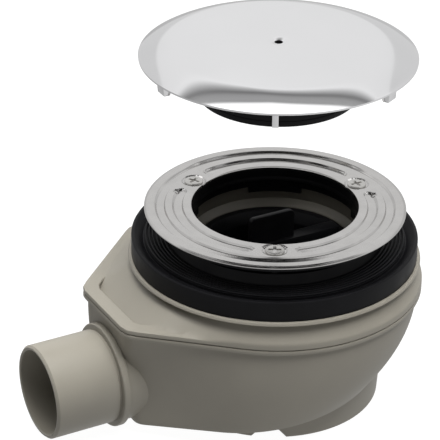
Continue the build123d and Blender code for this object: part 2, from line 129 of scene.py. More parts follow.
# Screws
SCREW_R = 2.0 * MM
SCREW_TIP = 0.8 * MM
HEAD_H = 0.75 * MM
HEAD_ROUND = 0.525 * MM
RECESS_SPAN = 5.2 * MM
RECESS_FOOT = 2.86 * MM
RECESS_WIDTH = 1.3 * MM
RECESS_DEPTH = 1.6 * MM

# Sleeve and tray seal
SLEEVE_EDGE_Z = -9.4 * MM
SLEEVE_LINE_Z = -6.4 * MM
SLEEVE_LINE = 0.45 * MM
SLEEVE_LINE_RUN = 1.8 * MM
TAB_DROP = 2.5 * MM
TAB_HALF = math.radians(18.6)
HOOK_HALF = math.radians(3.2)
HOOK_TURNS = (math.radians(-10.0), math.radians(130.0))
BOSS_R = 4.3 * MM
BOSS_DROP = 4.0 * MM
SCREW_HOLE_R = 2.3 * MM
MOAT_FLOOR = 0.5 * MM
RIB_VALLEY = 0.9 * MM
SEAL_BORE_R = 44.3 * MM
SEAL_LIP_T = 1.2 * MM
SEAL_LIP_SLOPE = 1.6 * MM

# Upper body: inlet, shelf, deck and seam
NECK_TOP_Z = UPPER_HIGH.z
LEDGE_Z = -15.4 * MM
LEDGE = 0.7 * MM
LEDGE_GROOVE = 0.6 * MM
SEAT_Z = -19.6 * MM
SEAT_R = 33.6 * MM
SEAT_TOP_Z = -18.4 * MM
INLET_BORE_R = 32.0 * MM
STUB_Z = -27.0 * MM
SHELF_DRAFT = 0.7 * MM
SHELF_LOW_Z = -23.0 * MM
WAIST_Z = -24.1 * MM
DECK_Z = UPPER_LOW.z
DECK_T = 2.8 * MM
FLANGE_TOP_Z = -31.6 * MM
POCKET_CORNER_R = 1.2 * MM
SEAM_GROOVE_DEPTH = 0.6 * MM
SEAM_GROOVE_HEIGHT = 0.35 * MM
SEAM_BEVEL = 0.2
SEAM_BEVEL_HEIGHT = 0.2 * MM
SPIGOT_PLAY = 0.3 * MM

# Lower body: bowl, water pot, foot ring and outlet
FLANGE_LOW_Z = -36.0 * MM
WALL_INSET = 1.8 * MM
BACK_TOUCH = math.radians(88.0)
BOWL_MID_INSET = 3.4 * MM
BOWL_MID_SHIFT = 3.5 * MM
BOWL_LOW_INSET = 8.4 * MM
BOWL_LOW_END = 6.1 * MM
BOWL_LOW_SHIFT = 7.5 * MM
BOWL_LOW_FRONT = math.radians(46.0)
BOWL_EDGE = 1.2 * MM
POT_DRAFT_Z = -62.0 * MM
POT_FLOOR_Z = -81.8 * MM
WEIR_Z = -27.5 * MM
FOOT_Z = LOWER_LOW.z
NOTCH_FIRST = math.radians(-121.0)
NOTCH_TOP = math.radians(10.0)
NOTCH_LOW = math.radians(18.0)
NOTCH_HEIGHT = 4.0 * MM
MOUTH_X = LOWER_LOW.x
MOUTH_EDGE = 0.9 * MM
BORE_EDGE = 0.4 * MM
COLLAR_GROOVE = 0.5 * MM
COLLAR_ROUND = 0.7 * MM
HUB_R = 20.6 * MM
HUB_ROUND = 0.4 * MM

# Dip tube
CUP_RIM_T = 1.2 * MM
CUP_HEAD_R = 31.4 * MM
CUP_GROOVE_Z = -24.5 * MM
CUP_GROOVE_HALF = 1.3 * MM
CUP_STUB_Z = -30.0 * MM
BRIDGE_TOP_Z = -16.4 * MM
BRIDGE_HEIGHT = 5.0 * MM
BRIDGE_EDGE = 0.4 * MM
BRIDGE_SUNK = 0.2 * MM
GRIP_LEFT_X = -12.1 * MM
GRIP_RIGHT_X = 8.9 * MM
GRIP_CORNER = 2.0 * MM

# Cover and skirt, with the radii between which a foot ends and those at its root
COVER_LIP = 0.2
COVER_DIMPLE_R = 4.0 * MM
COVER_DIMPLE_DEPTH = 0.5 * MM
COVER_FEET = 3
COVER_FOOT_END = (50.2 * MM, 53.0 * MM)
COVER_FOOT_ROOT = (53.8 * MM, 47.4 * MM)
COVER_FOOT_EDGE = 0.4 * MM
COVER_FOOT_FIRST = math.radians(58.5)
LEG_FIRST = math.radians(118.5)
LEG_T = 0.7 * MM
LEG_EDGE = 0.15 * MM
SKIRT_GROOVE = 0.3 * MM
SKIRT_GROOVE_PITCH = 2.6 * MM


def length(name, description, value):
    """Length property in metres."""
    return bpy.props.FloatProperty(
        name=name, description=description, default=value, unit="LENGTH", precision=5
    )


def angle(name, description, degrees):
    """Angle property, given in degrees."""
    return bpy.props.FloatProperty(
        name=name, description=description, default=math.radians(degrees), subtype="ANGLE"
    )


def number(name, description, value):
    """Count property."""
    return bpy.props.IntProperty(name=name, description=description, default=value, min=1)


def colour(name, description, value):
    """Colour property."""
    return bpy.props.FloatVectorProperty(
        name=name, description=description, default=value, subtype="COLOR", size=3, min=0.0, max=1.0
    )


class RingSizes(bpy.types.PropertyGroup):
    """Sizes of the clamp ring and its screws."""

    outer_r: length("Outer radius", "Rim of the ring", RING_HIGH.x)
    inner_r: length("Hole radius", "Edge of the hole", 35.0 * MM)
    sheet: length("Sheet", "Thickness of the pressed sheet", 0.4 * MM)
    press: length("Press depth", "Depth of the bead and grooves at the outer wall", 0.9 * MM)
    bead_inner_r: length("Bead inner radius", "Inner edge of the outer bead", 46.2 * MM)
    bead_outer_r: length("Bead outer radius", "Outer edge of the outer bead", 50.6 * MM)
    groove_inner_r: length("Groove inner radius", "Inner edge of the arc grooves", 38.7 * MM)
    groove_outer_r: length("Groove outer radius", "Outer edge of the arc grooves", 43.3 * MM)
    screw_count: number("Screws", "Number of clamp screws", 3)
    screw_circle_r: length("Screw circle", "Radius of the screw circle", 40.2 * MM)
    head_r: length("Head radius", "Radius of a screw's head", 4.0 * MM)


class SealSizes(bpy.types.PropertyGroup):
    """Sizes of the sleeve and the tray seal."""

    sleeve_bore_r: length("Sleeve bore", "Inner radius of the sleeve", 35.3 * MM)
    sleeve_r: length("Sleeve radius", "Outer radius of the sleeve", 36.7 * MM)
    flange_t: length("Flange", "Thickness of the sleeve's flange", 1.3 * MM)
    shoulder_z: length("Shoulder", "Height of the seal's rim and ribs", -12.7 * MM)
    shoulder_r: length("Shoulder round", "Radius of the seal's outer shoulder", 1.0 * MM)
    rim_width: length("Rim width", "Width of the seal's rim", 1.4 * MM)
    moat_width: length("Moat width", "Width of the groove inside the rim", 4.0 * MM)
    moat_depth: length("Moat depth", "Depth of the groove inside the rim", 2.2 * MM)
    rib_count: number("Ribs", "Number of round ribs", 6)
    rib_pitch: length("Rib pitch", "Distance between ribs", 1.5 * MM)
    rib_size: length("Rib radius", "Radius of a rib's section", 0.55 * MM)


class BodySizes(bpy.types.PropertyGroup):
    """Sizes of the two halves of the body."""

    neck_r: length("Neck radius", "Outer radius of the neck", 44.0 * MM)
    neck_bore_r: length("Neck bore", "Inner radius of the neck", 37.0 * MM)
    shelf_r: length("Shelf radius", "Radius of the shelf under the seal", 62.1 * MM)
    shelf_z: length("Shelf", "Height of the shelf under the seal", SEAL_LOW.z - 0.85 * MM)
    waist_r: length("Waist radius", "Radius of the waist", 58.2 * MM)
    deck_r: length("Deck radius", "Round side of the deck's foot", 68.5 * MM)
    deck_end: length("Deck end", "Outlet side of the deck's foot", 77.5 * MM)
    flange_r: length("Flange radius", "Round side of the flange", UPPER_HIGH.x)
    flange_end: length("Flange end", "Outlet side of the flange", -UPPER_LOW.x)
    seam_z: length("Seam", "Height of the seam between the halves", -33.85 * MM)
    corner_r: length("Plan corner", "Radius of the plan's corners", 8.0 * MM)
    rim_width: length("Deck rim", "Width of the rim round the deck", 6.2 * MM)
    edge_r: length("Edge round", "Radius of the moulded edges", 0.5 * MM)
    wall: length("Wall", "Wall of both halves", 2.2 * MM)
    front_angle: angle("Front angle", "Angle of the outlet box's front side", 41.0)
    back_angle: angle("Back angle", "Angle of the outlet box's back side", 43.0)
    bowl_mid_z: length("Bowl middle", "Height of the bowl's middle plan", -58.0 * MM)
    bowl_nip: length("Middle nip", "Set-back of the middle plan's front corner", 6.5 * MM)
    bowl_low_z: length("Bowl floor", "Height of the bowl's floor", -71.7 * MM)
    bowl_tilt: angle("Floor tilt", "Fall of the bowl's floor to the outlet", 8.0)
    pot_r: length("Pot radius", "Outer radius of the water pot", 47.6 * MM)
    foot_r: length("Foot radius", "Outer radius of the foot ring", 46.0 * MM)
    notch_count: number("Notches", "Drain notches in the foot ring", 3)
    pipe_r: length("Pipe radius", "Outer radius of the outlet pipe", 20.0 * MM)
    pipe_wall: length("Pipe wall", "Wall of the outlet pipe", 2.0 * MM)
    pipe_y: length("Pipe side", "Sideways place of the outlet pipe", 5.0 * MM)
    pipe_z: length("Pipe height", "Height of the outlet pipe's axis", -63.75 * MM)
    collar_r: length("Collar radius", "Radius of the stop collar", 22.3 * MM)
    collar_width: length("Collar width", "Width of the stop collar", 3.2 * MM)
    collar_x: length("Collar place", "Middle of the stop collar", -78.0 * MM)


class CupSizes(bpy.types.PropertyGroup):
    """Sizes of the dip tube."""

    rim_r: length("Rim radius", "Rim on the inlet's seat", CUP_HIGH.y)
    tube_r: length("Tube radius", "Outer radius at the top of the tube", 30.0 * MM)
    low_r: length("End radius", "Outer radius at the end of the tube", 28.6 * MM)
    wall: length("Wall", "Wall of the tube", 1.8 * MM)
    bridge_width: length("Bridge width", "Width of the bridge", 6.4 * MM)
    grip_t: length("Grip", "Thickness of the grip", 2.4 * MM)
    grip_top_z: length("Grip top", "Height of the grip", CUP_HIGH.z)


class CoverSizes(bpy.types.PropertyGroup):
    """Sizes of the cover and its skirt."""

    rim_r: length("Rim radius", "Radius of the cover", COVER_HIGH.x)
    rim_z: length("Rim", "Height of the cover's rim", 68.7 * MM)
    rise: length("Rise", "Rise of the shoulder", 4.7 * MM)
    crown: length("Crown", "Rise of the top inside the shoulder", 1.2 * MM)
    top_r: length("Top radius", "Radius of the crowned top", 43.0 * MM)
    sheet: length("Sheet", "Wall of the cover", 1.4 * MM)
    hole_r: length("Hole radius", "Radius of the lifting hole", 1.75 * MM)
    foot_low_z: length("Foot end", "Height of the feet's ends", 61.6 * MM)
    foot_width: length("Foot width", "Width of a foot", 6.0 * MM)
    leg_width: length("Leg width", "Width of a clip leg", 2.6 * MM)
    skirt_r: length("Skirt radius", "Outer radius of the skirt", SKIRT_HIGH.x)
    skirt_wall: length("Skirt wall", "Wall of the skirt", 2.0 * MM)
    skirt_low_z: length("Skirt end", "Height of the skirt's lower edge", SKIRT_LOW.z)
    groove_count: number("Grooves", "Fine grooves round the skirt", 3)


class TrapColours(bpy.types.PropertyGroup):
    """Colours of the finishes."""

    beige_plastic: colour("Body", "Grey-beige plastic of the body", (0.31, 0.289, 0.243))
    black_rubber: colour("Seal", "Black rubber of the seal", (0.0065, 0.0065, 0.0075))
    black_plastic: colour("Black plastic", "Sleeve, dip tube and skirt", (0.012, 0.012, 0.0135))
    stainless: colour("Ring", "Satin steel of the clamp ring", (0.58, 0.57, 0.56))
    screw_steel: colour("Screws", "Bright steel of the screws", (0.60, 0.59, 0.57))
    chrome: colour("Cover", "Chrome of the cover", (0.86, 0.86, 0.87))
    brass: colour("Inserts", "Brass of the threaded inserts", (0.70, 0.52, 0.24))
    floor: colour("Floor", "Pale floor", (0.12, 0.12, 0.12))


def ease(share):
    """Smooth step from 0 to 1."""
    share = min(max(share, 0.0), 1.0)
    return share * share * (3.0 - 2.0 * share)


def polar(radius, turn):
    """Point in plan at a radius and an angle."""
    return Vector((radius * math.cos(turn), radius * math.sin(turn)))


def arc_points(centre, start, end, steps):
    """Points on the short arc about a centre, both ends included."""
    radius = (start - centre).length
    points = []
    for step in range(steps + 1):
        share = step / steps
        points.append(centre + (start.lerp(end, share) - centre).normalized() * radius)
    return points


def corner_arc(before, here, after, radius, steps):
    """Arc that rounds one corner, limited by the sides beside it."""
    to_before = before - here
    to_after = after - here
    half = to_before.angle(to_after) / 2.0
    if radius <= 0.0 or math.pi / 2.0 - half < NEARLY_STRAIGHT:
        return [here]
    reach = min(radius / math.tan(half), CORNER_SHARE * min(to_before.length, to_after.length))
    middle = (to_before.normalized() + to_after.normalized()).normalized()
    centre = here + middle * (reach / math.cos(half))
    start = here + to_before.normalized() * reach
    return arc_points(centre, start, here + to_after.normalized() * reach, steps)


def rounded(corners, radius, steps=4, closed=True):
    """Side line with its corners rounded. A third value on a corner is that corner's own radius."""
    points = []
    for index, corner in enumerate(corners):
        here = Vector(corner[:2])
        if not closed and index in (0, len(corners) - 1):
            points.append(here)
            continue
        before = Vector(corners[index - 1][:2])
        after = Vector(corners[(index + 1) % len(corners)][:2])
        points += corner_arc(before, here, after, corner[2] if len(corner) > 2 else radius, steps)
    return points


def linked(name, data):
    """Object of a mesh, a light or a camera, placed in the scene."""
    piece = bpy.data.objects.new(name, data)
    bpy.context.scene.collection.objects.link(piece)
    return piece


def solid(name, points, faces):
    """Object from points and faces, with doubles merged and faces turned outward."""
    mesh = bpy.data.meshes.new(name)
    mesh.from_pydata(points, [], faces)
    shape = bmesh.new()
    shape.from_mesh(mesh)
    bmesh.ops.remove_doubles(shape, verts=shape.verts, dist=DOUBLES)
    bmesh.ops.recalc_face_normals(shape, faces=shape.faces)
    shape.to_mesh(mesh)
    shape.free()
    return linked(name, mesh)


def skin(name, rings, closed=True):
    """Solid through rings of equal counts: joined end to end, or with flat ends."""
    width = len(rings[0])
    points = [tuple(point) for ring in rings for point in ring]
    faces = []
    for row in range(len(rings) if closed else len(rings) - 1):
        here = row * width
        there = (row + 1) % len(rings) * width
        for column in range(width):
            beside = (column + 1) % width
            faces.append((here + column, here + beside, there + beside, there + column))
    if not closed:
        faces.append(tuple(range(width)))
        faces.append(tuple(range(len(points) - width, len(points))))
    return solid(name, points, faces)


def turned(name, corners, round_r=0.0, steps=4, segments=TURN_SEGMENTS, filled=False):
    """Solid of revolution from a side line of (radius, height), closed or filled to the axis."""
    side = rounded(corners, round_r, steps, not filled)
    turns = [math.tau * step / segments for step in range(segments)]
    rings = [[(*polar(radius, turn), height) for turn in turns] for radius, height in side]
    return skin(name, rings, not filled)


def prism(name, outline, half_width, bevel=0.0):
    """Outline in the XZ plane, given a width along Y and softened edges."""
    shape = bmesh.new()
    near = [shape.verts.new((x, -half_width, z)) for x, z in outline]
    far = [shape.verts.new((x, half_width, z)) for x, z in outline]
    shape.faces.new(near)
    shape.faces.new(list(reversed(far)))
    for index in range(len(outline)):
        after = (index + 1) % len(outline)
        shape.faces.new((near[index], far[index], far[after], near[after]))
    bmesh.ops.recalc_face_normals(shape, faces=shape.faces)
    if bevel:
        bmesh.ops.bevel(
            shape, geom=shape.edges[:], offset=bevel, segments=2, profile=0.5, affect="EDGES"
        )
    mesh = bpy.data.meshes.new(name)
    shape.to_mesh(mesh)
    shape.free()
    return linked(name, mesh)


def sector(name, inner_r, outer_r, low_z, high_z, middle, half, steps=16):
    """Block of a ring that spans twice the half angle."""
    rings = []
    for step in range(steps + 1):
        turn = middle + half * (2.0 * step / steps - 1.0)
        corners = ((inner_r, low_z), (outer_r, low_z), (outer_r, high_z), (inner_r, high_z))
        rings.append([(*polar(radius, turn), height) for radius, height in corners])
    return skin(name, rings, closed=False)


def shift(piece, matrix):
    """Move a piece's mesh, so that the object itself stays at the origin."""
    piece.data.transform(matrix)
    return piece


def set_out(piece, radius):
    """Move a piece's mesh out along X."""
    return shift(piece, Matrix.Translation((radius, 0.0, 0.0)))


def spun(piece, turn):
    """Turn a piece's mesh about the inlet axis."""
    return shift(piece, Matrix.Rotation(turn, 4, "Z"))


def freeze(piece):
    """Turn a piece and its modifiers into a plain mesh."""
    graph = bpy.context.evaluated_depsgraph_get()
    mesh = bpy.data.meshes.new_from_object(piece.evaluated_get(graph), depsgraph=graph)
    old = piece.data
    piece.modifiers.clear()
    piece.data = mesh
    bpy.data.meshes.remove(old)
    return piece


def combine(piece, other, operation):
    """Unite a piece with another one, or cut it by that one, which is used up."""
    modifier = piece.modifiers.new("Combine", "BOOLEAN")
    modifier.operation = operation
    modifier.solver = "EXACT"
    modifier.object = other
    freeze(piece)
    bpy.data.objects.remove(other)
    return piece


def new_tree(name, inputs):
    """Node tree with a geometry output and the named inputs."""
    tree = bpy.data.node_groups.new(name, "GeometryNodeTree")
    for label, kind in inputs:
        tree.interface.new_socket(label, in_out="INPUT", socket_type=kind)
    tree.interface.new_socket("Geometry", in_out="OUTPUT", socket_type="NodeSocketGeometry")
    return tree


def end_tree(tree, instances, finish):
    """Close a tree: real geometry, then its material."""
    real = tree.nodes.new("GeometryNodeRealizeInstances")
    paint = tree.nodes.new("GeometryNodeSetMaterial")
    out = tree.nodes.new("NodeGroupOutput")
    tree.links.new(instances, real.inputs["Geometry"])
    tree.links.new(real.outputs["Geometry"], paint.inputs["Geometry"])
    tree.links.new(finish, paint.inputs["Material"])
    tree.links.new(paint.outputs["Geometry"], out.inputs["Geometry"])


def math_node(tree, operation, first, second):
    """Math node whose values are sockets or numbers."""
    node = tree.nodes.new("ShaderNodeMath")
    node.operation = operation
    for socket, value in zip(node.inputs, (first, second)):
        if isinstance(value, (int, float)):
            socket.default_value = value
        else:
            tree.links.new(value, socket)
    return node.outputs[0]


def copies_tree():
    """Tree that repeats its own mesh evenly about the inlet axis."""
    if COPIES_TREE in bpy.data.node_groups:
        return bpy.data.node_groups[COPIES_TREE]
    inputs = [("Geometry", "NodeSocketGeometry"), ("Count", "NodeSocketInt")]
    tree = new_tree(COPIES_TREE, inputs + [("Finish", "NodeSocketMaterial")])
    given = tree.nodes.new("NodeGroupInput")
    places = tree.nodes.new("GeometryNodeMeshLine")
    places.inputs["Offset"].default_value = (0.0, 0.0, 0.0)
    index = tree.nodes.new("GeometryNodeInputIndex")
    share = math_node(tree, "DIVIDE", index.outputs[0], given.outputs["Count"])
    spin = tree.nodes.new("FunctionNodeAxisAngleToRotation")
    copies = tree.nodes.new("GeometryNodeInstanceOnPoints")
    tree.links.new(given.outputs["Count"], places.inputs["Count"])
    tree.links.new(math_node(tree, "MULTIPLY", share, math.tau), spin.inputs["Angle"])
    tree.links.new(places.outputs["Mesh"], copies.inputs["Points"])
    tree.links.new(given.outputs["Geometry"], copies.inputs["Instance"])
    tree.links.new(spin.outputs["Rotation"], copies.inputs["Rotation"])
    end_tree(tree, copies.outputs["Instances"], given.outputs["Finish"])
    return tree


def ribs_tree():
    """Tree that makes level round ribs of falling radius about the inlet axis."""
    lengths = ("Outer Radius", "Pitch", "Height", "Rib Radius")
    inputs = [("Count", "NodeSocketInt")]
    inputs += [(label, "NodeSocketFloat") for label in lengths]
    tree = new_tree("Ribs about the inlet axis", inputs + [("Finish", "NodeSocketMaterial")])
    given = tree.nodes.new("NodeGroupInput")
    path = tree.nodes.new("GeometryNodeCurvePrimitiveCircle")
    path.inputs["Resolution"].default_value = TURN_SEGMENTS
    section = tree.nodes.new("GeometryNodeCurvePrimitiveCircle")
    section.inputs["Resolution"].default_value = RIB_SIDES
    sweep = tree.nodes.new("GeometryNodeCurveToMesh")
    start = tree.nodes.new("ShaderNodeCombineXYZ")
    places = tree.nodes.new("GeometryNodeMeshLine")
    places.inputs["Offset"].default_value = (0.0, 0.0, 0.0)
    index = tree.nodes.new("GeometryNodeInputIndex")
    inward = math_node(tree, "MULTIPLY", index.outputs[0], given.outputs["Pitch"])
    share = math_node(tree, "DIVIDE", inward, given.outputs["Outer Radius"])
    narrow = math_node(tree, "SUBTRACT", 1.0, share)
    scale = tree.nodes.new("ShaderNodeCombineXYZ")
    scale.inputs["Z"].default_value = 1.0
    copies = tree.nodes.new("GeometryNodeInstanceOnPoints")
    for source, target in (
        (given.outputs["Outer Radius"], path.inputs["Radius"]),
        (given.outputs["Rib Radius"], section.inputs["Radius"]),
        (path.outputs["Curve"], sweep.inputs["Curve"]),
        (section.outputs["Curve"], sweep.inputs["Profile Curve"]),
        (given.outputs["Height"], start.inputs["Z"]),
        (given.outputs["Count"], places.inputs["Count"]),
        (start.outputs[0], places.inputs["Start Location"]),
        (narrow, scale.inputs["X"]),
        (narrow, scale.inputs["Y"]),
        (places.outputs["Mesh"], copies.inputs["Points"]),
        (sweep.outputs["Mesh"], copies.inputs["Instance"]),
        (scale.outputs[0], copies.inputs["Scale"]),
    ):
        tree.links.new(source, target)
    end_tree(tree, copies.outputs["Instances"], given.outputs["Finish"])
    return tree


def grow(piece, tree, values):
    """Run a node tree on a piece with the named inputs, and keep the result as a plain mesh."""
    modifier = piece.modifiers.new(tree.name, "NODES")
    modifier.node_group = tree
    for item in tree.interface.items_tree:
        if item.in_out == "INPUT" and item.name in values:
            modifier[item.identifier] = values[item.name]
    return freeze(piece)


def copies(piece, count, slot):
    """Repeat a piece evenly about the inlet axis."""
    return grow(piece, copies_tree(), {"Count": count, "Finish": finish(slot)})


def drill(piece, radius, low_z, high_z, slot):
    """Cut the three screw holes in a piece."""
    ring = bpy.context.scene.trap_ring
    side = [(radius, low_z), (radius, high_z)]
    cutter = turned("screw_holes", side, segments=DRILL_SEGMENTS, filled=True)
    set_out(cutter, ring.screw_circle_r)
    return combine(piece, copies(cutter, ring.screw_count, slot), "DIFFERENCE")


def seat(piece, slot, *nodes, sharp=SHARP):
    """Give a piece its finish, shading and place in the frame."""
    piece.data.materials.clear()
    piece.data.materials.append(finish(slot))
    for polygon in piece.data.polygons:
        polygon.use_smooth = True
        polygon.material_index = 0
    piece.data.set_sharp_from_angle(angle=math.radians(sharp))
    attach(piece, "root")
    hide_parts(*nodes)


# Finishes

NOISE_LIMITS = (0.3, 0.7)
PATCH_DETAIL = 4.0
GRAIN_DETAIL = 3.0


def noise(nodes, links, scale, detail, where):
    """Noise texture on the object's own coordinates."""
    texture = nodes.new("ShaderNodeTexNoise")
    texture.inputs["Scale"].default_value = scale
    texture.inputs["Detail"].default_value = detail
    links.new(where, texture.inputs["Vector"])
    return texture.outputs["Fac"]


def ramp_colour(nodes, links, factor, base, low, high):
    """Colour that varies a little between a darker and a lighter tone of the base."""
    ramp = nodes.new("ShaderNodeValToRGB")
    for element, place, level in zip(ramp.color_ramp.elements, NOISE_LIMITS, (low, high)):
        element.position = place
        element.color = [min(channel * level, 1.0) for channel in base] + [1.0]
    links.new(factor, ramp.inputs["Fac"])
    return ramp.outputs["Color"]


def spread(nodes, links, factor, low, high):
    """Value that varies between two limits."""
    reach = nodes.new("ShaderNodeMapRange")
    labels = ("From Min", "From Max", "To Min", "To Max")
    for label, value in zip(labels, (*NOISE_LIMITS, low, high)):
        reach.inputs[label].default_value = value
    links.new(factor, reach.inputs["Value"])
    return reach.outputs["Result"]


# Per finish: metallic, gloss, roughness limits, tone limits, patch scale, grain scale, strength and depth
FINISHES = {
    "beige_plastic": (0.0, 0.45, (0.36, 0.46), (0.97, 1.03), 60.0, 2600.0, 0.06, 0.05 * MM),
    "black_rubber": (0.0, 0.12, (0.36, 0.50), (0.80, 1.20), 90.0, 2200.0, 0.10, 0.05 * MM),
    "black_plastic": (0.0, 0.10, (0.28, 0.38), (0.85, 1.15), 90.0, 2600.0, 0.06, 0.04 * MM),
    "stainless": (1.0, 0.5, (0.10, 0.15), (0.95, 1.04), 140.0, 3200.0, 0.05, 0.02 * MM),
    "screw_steel": (1.0, 0.5, (0.18, 0.28), (0.94, 1.04), 400.0, 4000.0, 0.04, 0.02 * MM),
    "chrome": (1.0, 0.5, (0.07, 0.11), (0.985, 1.01), 30.0, 900.0, 0.01, 0.01 * MM),
    "brass": (1.0, 0.5, (0.28, 0.40), (0.92, 1.05), 300.0, 3000.0, 0.05, 0.02 * MM),
}


def finish(slot):
    """Procedural material of a slot, made on first use."""
    name = f"finish_{slot}"
    if name in bpy.data.materials:
        return bpy.data.materials[name]
    metallic, gloss, rough, tone, patch, grain, strength, depth = FINISHES[slot]
    base = getattr(bpy.context.scene.trap_colours, slot)
    material = bpy.data.materials.new(name)
    material.use_nodes = True
    nodes = material.node_tree.nodes
    links = material.node_tree.links
    shader = nodes["Principled BSDF"]
    shader.inputs["Metallic"].default_value = metallic
    shader.inputs["Specular IOR Level"].default_value = gloss
    where = nodes.new("ShaderNodeTexCoord").outputs["Object"]
    patches = noise(nodes, links, patch, PATCH_DETAIL, where)
    grains = noise(nodes, links, grain, GRAIN_DETAIL, where)
    links.new(ramp_colour(nodes, links, patches, base, *tone), shader.inputs["Base Color"])
    links.new(spread(nodes, links, patches, *rough), shader.inputs["Roughness"])
    bump = nodes.new("ShaderNodeBump")
    bump.inputs["Strength"].default_value = strength
    bump.inputs["Distance"].default_value = depth
    links.new(grains, bump.inputs["Height"])
    links.new(bump.outputs["Normal"], shader.inputs["Normal"])
    return material


# Plans of the body

PLAN_STEPS = (16, 8, 12, 8, 16, 8, 8)
ROUND_STEPS = 128
LINE_REACH = 1.5


def body_plan(body, round_r, end_x, corner_r, front, nip=0.0):
    """Plan of the body: a circle on the inlet axis that runs out into the outlet box."""
    back = body.back_angle
    touch = BACK_TOUCH
    front_y = -(round_r - end_x * math.sin(front)) / math.cos(front)
    back_y = 2.0 * body.pipe_y - front_y
    back_gap = round_r - back_y * math.sin(touch) + end_x * math.cos(touch)
    back_run = back_gap / math.cos(back - touch)
    front_touch = Vector((-round_r * math.sin(front), -round_r * math.cos(front)))
    knots = [
        front_touch,
        Vector((-end_x, front_y + nip)),
        Vector((-end_x, back_y)),
        Vector((-end_x + back_run * math.cos(back), back_y + back_run * math.sin(back))),
        polar(round_r, touch),
    ]
    runs = [[front_touch]]
    for before, here, after in zip(knots, knots[1:], knots[2:]):
        arc = corner_arc(before, here, after, corner_r, PLAN_STEPS[1])
        runs[-1].append(arc[0])
        runs += [arc, [arc[-1]]]
    runs[-1].append(knots[-1])
    points = []
    for run, steps in zip(runs, PLAN_STEPS):
        if len(run) == 2:
            run = [run[0].lerp(run[1], step / steps) for step in range(steps + 1)]
        points += run[:-1]
    round_turn = touch + math.pi / 2.0 + front
    for step in range(ROUND_STEPS):
        points.append(polar(round_r, touch - round_turn * step / ROUND_STEPS))
    return points


def flange_plan(body, inset, corner_r=None):
    """Plan of the flange, set in from its edge."""
    corner_r = body.corner_r if corner_r is None else corner_r
    return body_plan(body, body.flange_r - inset, body.flange_end - inset, corner_r, body.front_angle)


def circle_like(radius, plan):
    """Circle with its points at the same angles as a plan's."""
    return [polar(radius, math.atan2(point.y, point.x)) for point in plan]


def level(plan, height):
    """Ring of a plan at one height."""
    return [(point.x, point.y, height) for point in plan]


def crossings(inner, outer, plan):
    """Share of each line from an inner to an outer ring, or past it, at which it crosses a plan."""
    shares = []
    for start, end in zip(inner, outer):
        share = 0.0
        far = start.lerp(end, LINE_REACH)
        for index, corner in enumerate(plan):
            hit = intersect_line_line_2d(start, far, corner, plan[index - 1])
            if hit is not None:
                share = (hit - start).length / (end - start).length
        shares.append(share)
    return shares


def bowl_plan(body, height, tilt, lean, round_r, end_x, front, nip=0.0):
    """Ring of the bowl's plan at one height, leaning and tilted towards the outlet."""
    ring = []
    for point in body_plan(body, round_r, end_x - lean, body.corner_r, front, nip):
        along = point.x - lean
        ring.append(Vector((along * math.cos(tilt), point.y, height + along * math.sin(tilt))))
    return ring


def bowl_floor(body, inset, lift):
    """Ring of the bowl's floor, set in and lifted."""
    return bowl_plan(
        body,
        body.bowl_low_z + lift,
        body.bowl_tilt,
        BOWL_LOW_SHIFT,
        body.flange_r - BOWL_LOW_INSET - inset,
        body.flange_end - BOWL_LOW_END - inset,
        BOWL_LOW_FRONT,
    )


def bowl_rings(body, inset, lift, steps=18):
    """Rings down the bowl's wall, on a smooth curve through its three plans."""
    wall = WALL_INSET + inset
    top = [Vector(point) for point in level(flange_plan(body, wall), FLANGE_LOW_Z)]
    middle = bowl_plan(
        body,
        body.bowl_mid_z + lift / 2.0,
        body.bowl_tilt / 2.0,
        BOWL_MID_SHIFT,
        body.flange_r - BOWL_MID_INSET - inset,
        body.flange_end - BOWL_MID_INSET - inset,
        (body.front_angle + BOWL_LOW_FRONT) / 2.0,
        body.bowl_nip,
    )
    floor = bowl_floor(body, inset, lift)
    upper_run = sum((a - b).length for a, b in zip(top, middle))
    lower_run = sum((a - b).length for a, b in zip(middle, floor))
    knee = upper_run / (upper_run + lower_run)
    rings = []
    for step in range(steps + 1):
        share = step / steps
        weights = (
            (share - knee) * (share - 1.0) / knee,
            share * (share - 1.0) / (knee * (knee - 1.0)),
            share * (share - knee) / (1.0 - knee),
        )
        rings.append(
            [a * weights[0] + b * weights[1] + c * weights[2] for a, b, c in zip(top, middle, floor)]
        )
    return rings


# Pieces

class TrapOperator:
    """Shared parts of the piece operators."""

    bl_options = {"REGISTER", "UNDO"}


